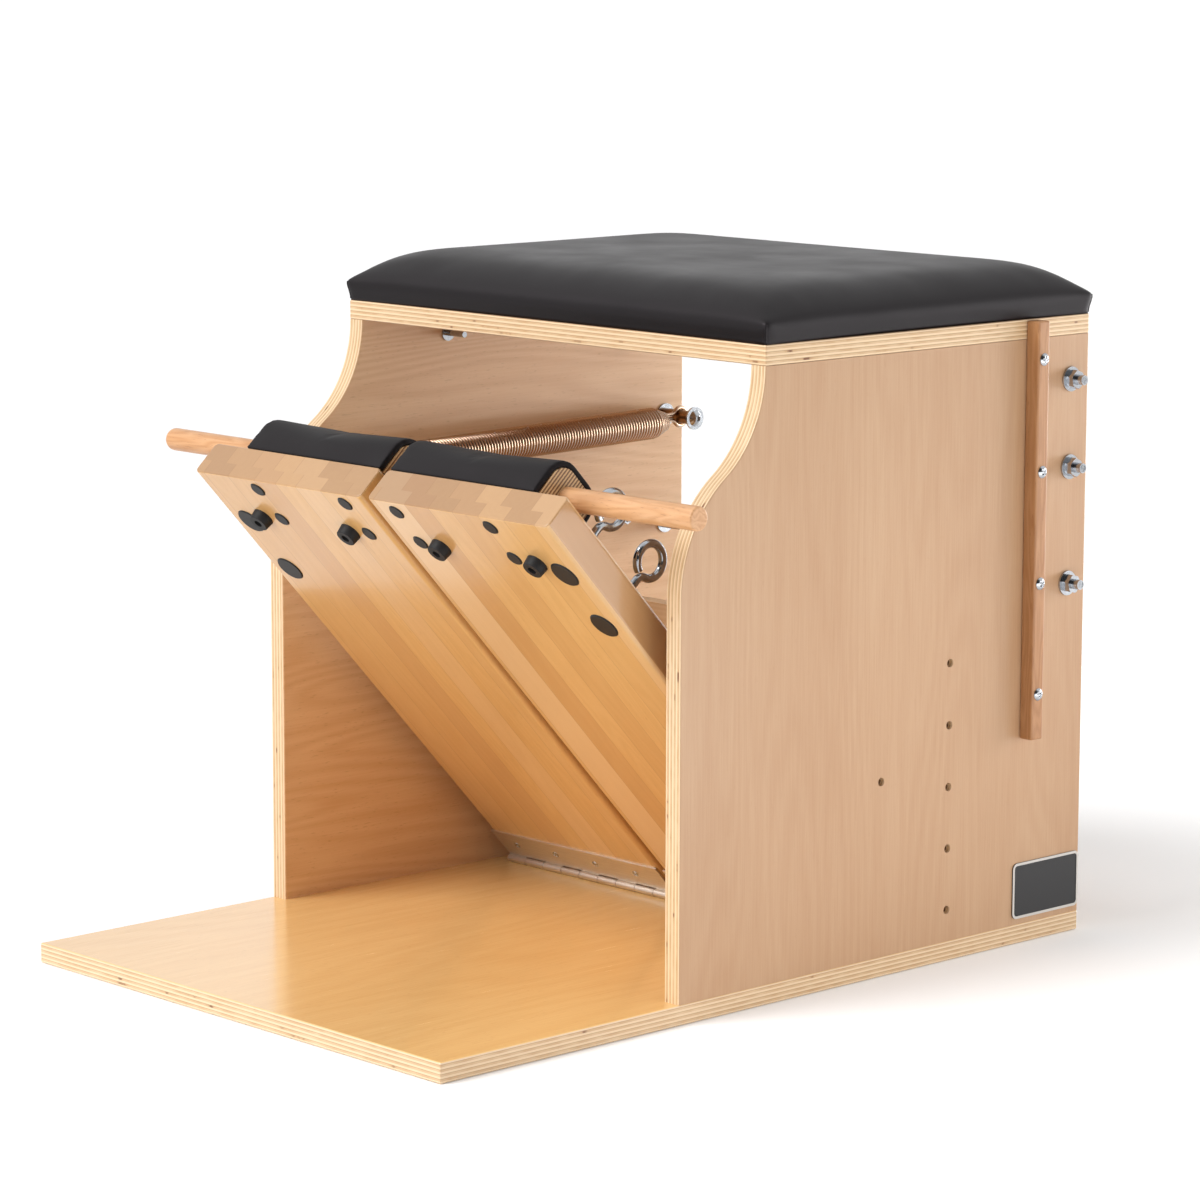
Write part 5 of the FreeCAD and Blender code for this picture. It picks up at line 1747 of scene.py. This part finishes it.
@dataclass
class Studio:
    """White floor, soft lamps and the camera at the photograph's place. Angles in degrees, sizes in m."""

    azimuth: float = 46.90
    elevation: float = 9.36
    roll: float = 0.13
    focal_pixels: float = 4330
    sensor_mm: float = 36
    clip_end: float = 400
    camera_at: Triple = (3.0036, -2.7686, 1.0123)
    floor_side: float = 160
    floor_drop: float = 0.0005
    floor_tone: str = "#F2F2F2"
    floor_rough: float = 0.9
    floor_glow: float = 0.1
    room_level: float = 0.5
    dark_azimuth: float = 50
    dark_elevation: float = 15
    dark_level: float = 0.06
    dark_range: Pair = (0.45, 0.75)
    lamps: tuple[SoftLamp, ...] = (
        SoftLamp("rear_softbox", (0.85, 2.6, 0.5), 1.3, 45),
        SoftLamp("front_softbox", (-0.3, -2.4, 0.6), 1.2, 13),
        SoftLamp("low_card", (0.95, 0.1, 0.02), 0.8, 4),
    )
    lamp_target: Triple = (0, 0, 0.3)
    key_azimuth: float = -20
    key_elevation: float = 45
    key_spread: float = 35
    key_level: float = 2.5

    def build(self) -> None:
        """Makes the floor, the light and the camera."""
        self.floor()
        self.room()
        self.light()
        self.camera()
        bpy.context.scene.view_settings.view_transform = "Standard"

    def toward(self, azimuth: float, elevation: float) -> Vector:
        """Gives a direction from the chair.

        Args:
            azimuth: degrees from the front, towards the viewer's right.
            elevation: degrees above the floor.

        Returns:
            The direction.
        """
        turn, rise = math.radians(azimuth), math.radians(elevation)
        return Vector((math.sin(turn) * math.cos(rise), -math.cos(turn) * math.cos(rise), math.sin(rise)))

    def seen_white(self, tree: NodeTree) -> Source:
        """Adds the test for rays that show the background.

        Args:
            tree: the floor's or the world's tree.

        Returns:
            One for rays from the camera, from gloss and through glass, otherwise zero.
        """
        ray = add_node(tree, "ShaderNodeLightPath").outputs
        seen: Source = ray["Is Camera Ray"]
        for kind in ("Is Glossy Ray", "Is Transmission Ray"):
            seen = add_node(tree, "ShaderNodeMath", {0: seen, 1: ray[kind]}, operation="MAXIMUM")
        return seen

    def floor(self) -> None:
        """Makes a wide white floor that keeps the shadow."""
        half = self.floor_side / 2
        mesh = bpy.data.meshes.new("studio_floor")
        mesh.from_pydata(
            [(-half, -half, 0), (half, -half, 0), (half, half, 0), (-half, half, 0)], [], [(0, 1, 2, 3)])
        floor = link_object("studio_floor", mesh)
        floor.location.z = -self.floor_drop
        finish = bpy.data.materials.new("white_paper_floor")
        finish.use_nodes = True
        tree = finish.node_tree
        glow = add_node(
            tree, "ShaderNodeMath", {0: self.seen_white(tree), 1: self.floor_glow}, operation="MULTIPLY")
        feed(tree, tree.nodes["Principled BSDF"], {
            "Base Color": linear(self.floor_tone), "Roughness": self.floor_rough,
            "Specular IOR Level": 0.0, "Emission Color": WHITE, "Emission Strength": glow})
        paint(floor, finish)

    def room(self) -> None:
        """Makes the white world.

        Gloss sees a dark room on the front right, as behind a photographer, which shapes bare metal.
        """
        world = bpy.data.worlds.new("white_room")
        world.use_nodes = True
        tree = world.node_tree
        plain = add_node(
            tree, "ShaderNodeMapRange", {"Value": self.seen_white(tree), "To Min": self.room_level})
        way = add_node(tree, "ShaderNodeTexCoord").outputs["Generated"]
        facing = add_node(
            tree, "ShaderNodeVectorMath", {0: way, 1: self.toward(self.dark_azimuth, self.dark_elevation)},
            operation="DOT_PRODUCT")
        dark = add_node(
            tree, "ShaderNodeMapRange", {"Value": facing, "From Min": self.dark_range[0],
                                         "From Max": self.dark_range[1], "To Min": 1.0,
                                         "To Max": self.dark_level})
        ray = add_node(tree, "ShaderNodeLightPath").outputs
        level = add_node(
            tree, "ShaderNodeMix", {"Factor": ray["Is Glossy Ray"], "A": plain, "B": dark},
            data_type="FLOAT")
        feed(tree, tree.nodes["Background"], {"Color": WHITE, "Strength": level})
        bpy.context.scene.world = world

    def light(self) -> None:
        """Hangs the soft lamps and the key light."""
        for lamp in self.lamps:
            lamp.hang(Vector(self.lamp_target))
        key = bpy.data.lights.new("key_light", "SUN")
        key.energy = self.key_level
        key.angle = math.radians(self.key_spread)
        sun = link_object("key_light", key)
        sun.rotation_mode = "QUATERNION"
        shine = -self.toward(self.key_azimuth, self.key_elevation)
        sun.rotation_quaternion = shine.to_track_quat("-Z", "Y")

    def camera(self) -> None:
        """Makes the camera."""
        data = bpy.data.cameras.new("photo_camera")
        data.sensor_width = self.sensor_mm
        data.lens = self.focal_pixels / IMAGE_SIDE * self.sensor_mm
        data.clip_end = self.clip_end
        camera = link_object("photo_camera", data)
        back = self.toward(self.azimuth, self.elevation)
        turn, roll = math.radians(self.azimuth), math.radians(self.roll)
        right = Vector((math.cos(turn), math.sin(turn), 0))
        up = back.cross(right)
        turned = Matrix((right * math.cos(roll) + up * math.sin(roll),
                         up * math.cos(roll) - right * math.sin(roll), back)).transposed().to_4x4()
        camera.matrix_world = Matrix.Translation(Vector(self.camera_at)) @ turned
        bpy.context.scene.camera = camera


def main() -> None:
    """Loads the frame, builds each sub-assembly and logs each piece's face count."""
    logging.basicConfig(level=logging.INFO, format="%(name)s: %(message)s")
    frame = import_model()
    Studio().build()
    log.info("carried pieces dressed: %d", CarriedPieces(frame["nodes"]).dress())
    wires, rows = WireTree(), RowTree()
    pieces = Seat().build(wires)
    for side in SIDES:
        pieces += Bolster(side).build()
    pieces += Spring().build(wires)
    pieces += Fasteners().build(rows)
    for piece in pieces:
        log.info("piece %s: %d faces", piece.name, len(piece.data.polygons))


if __name__ == "__main__":
    main()
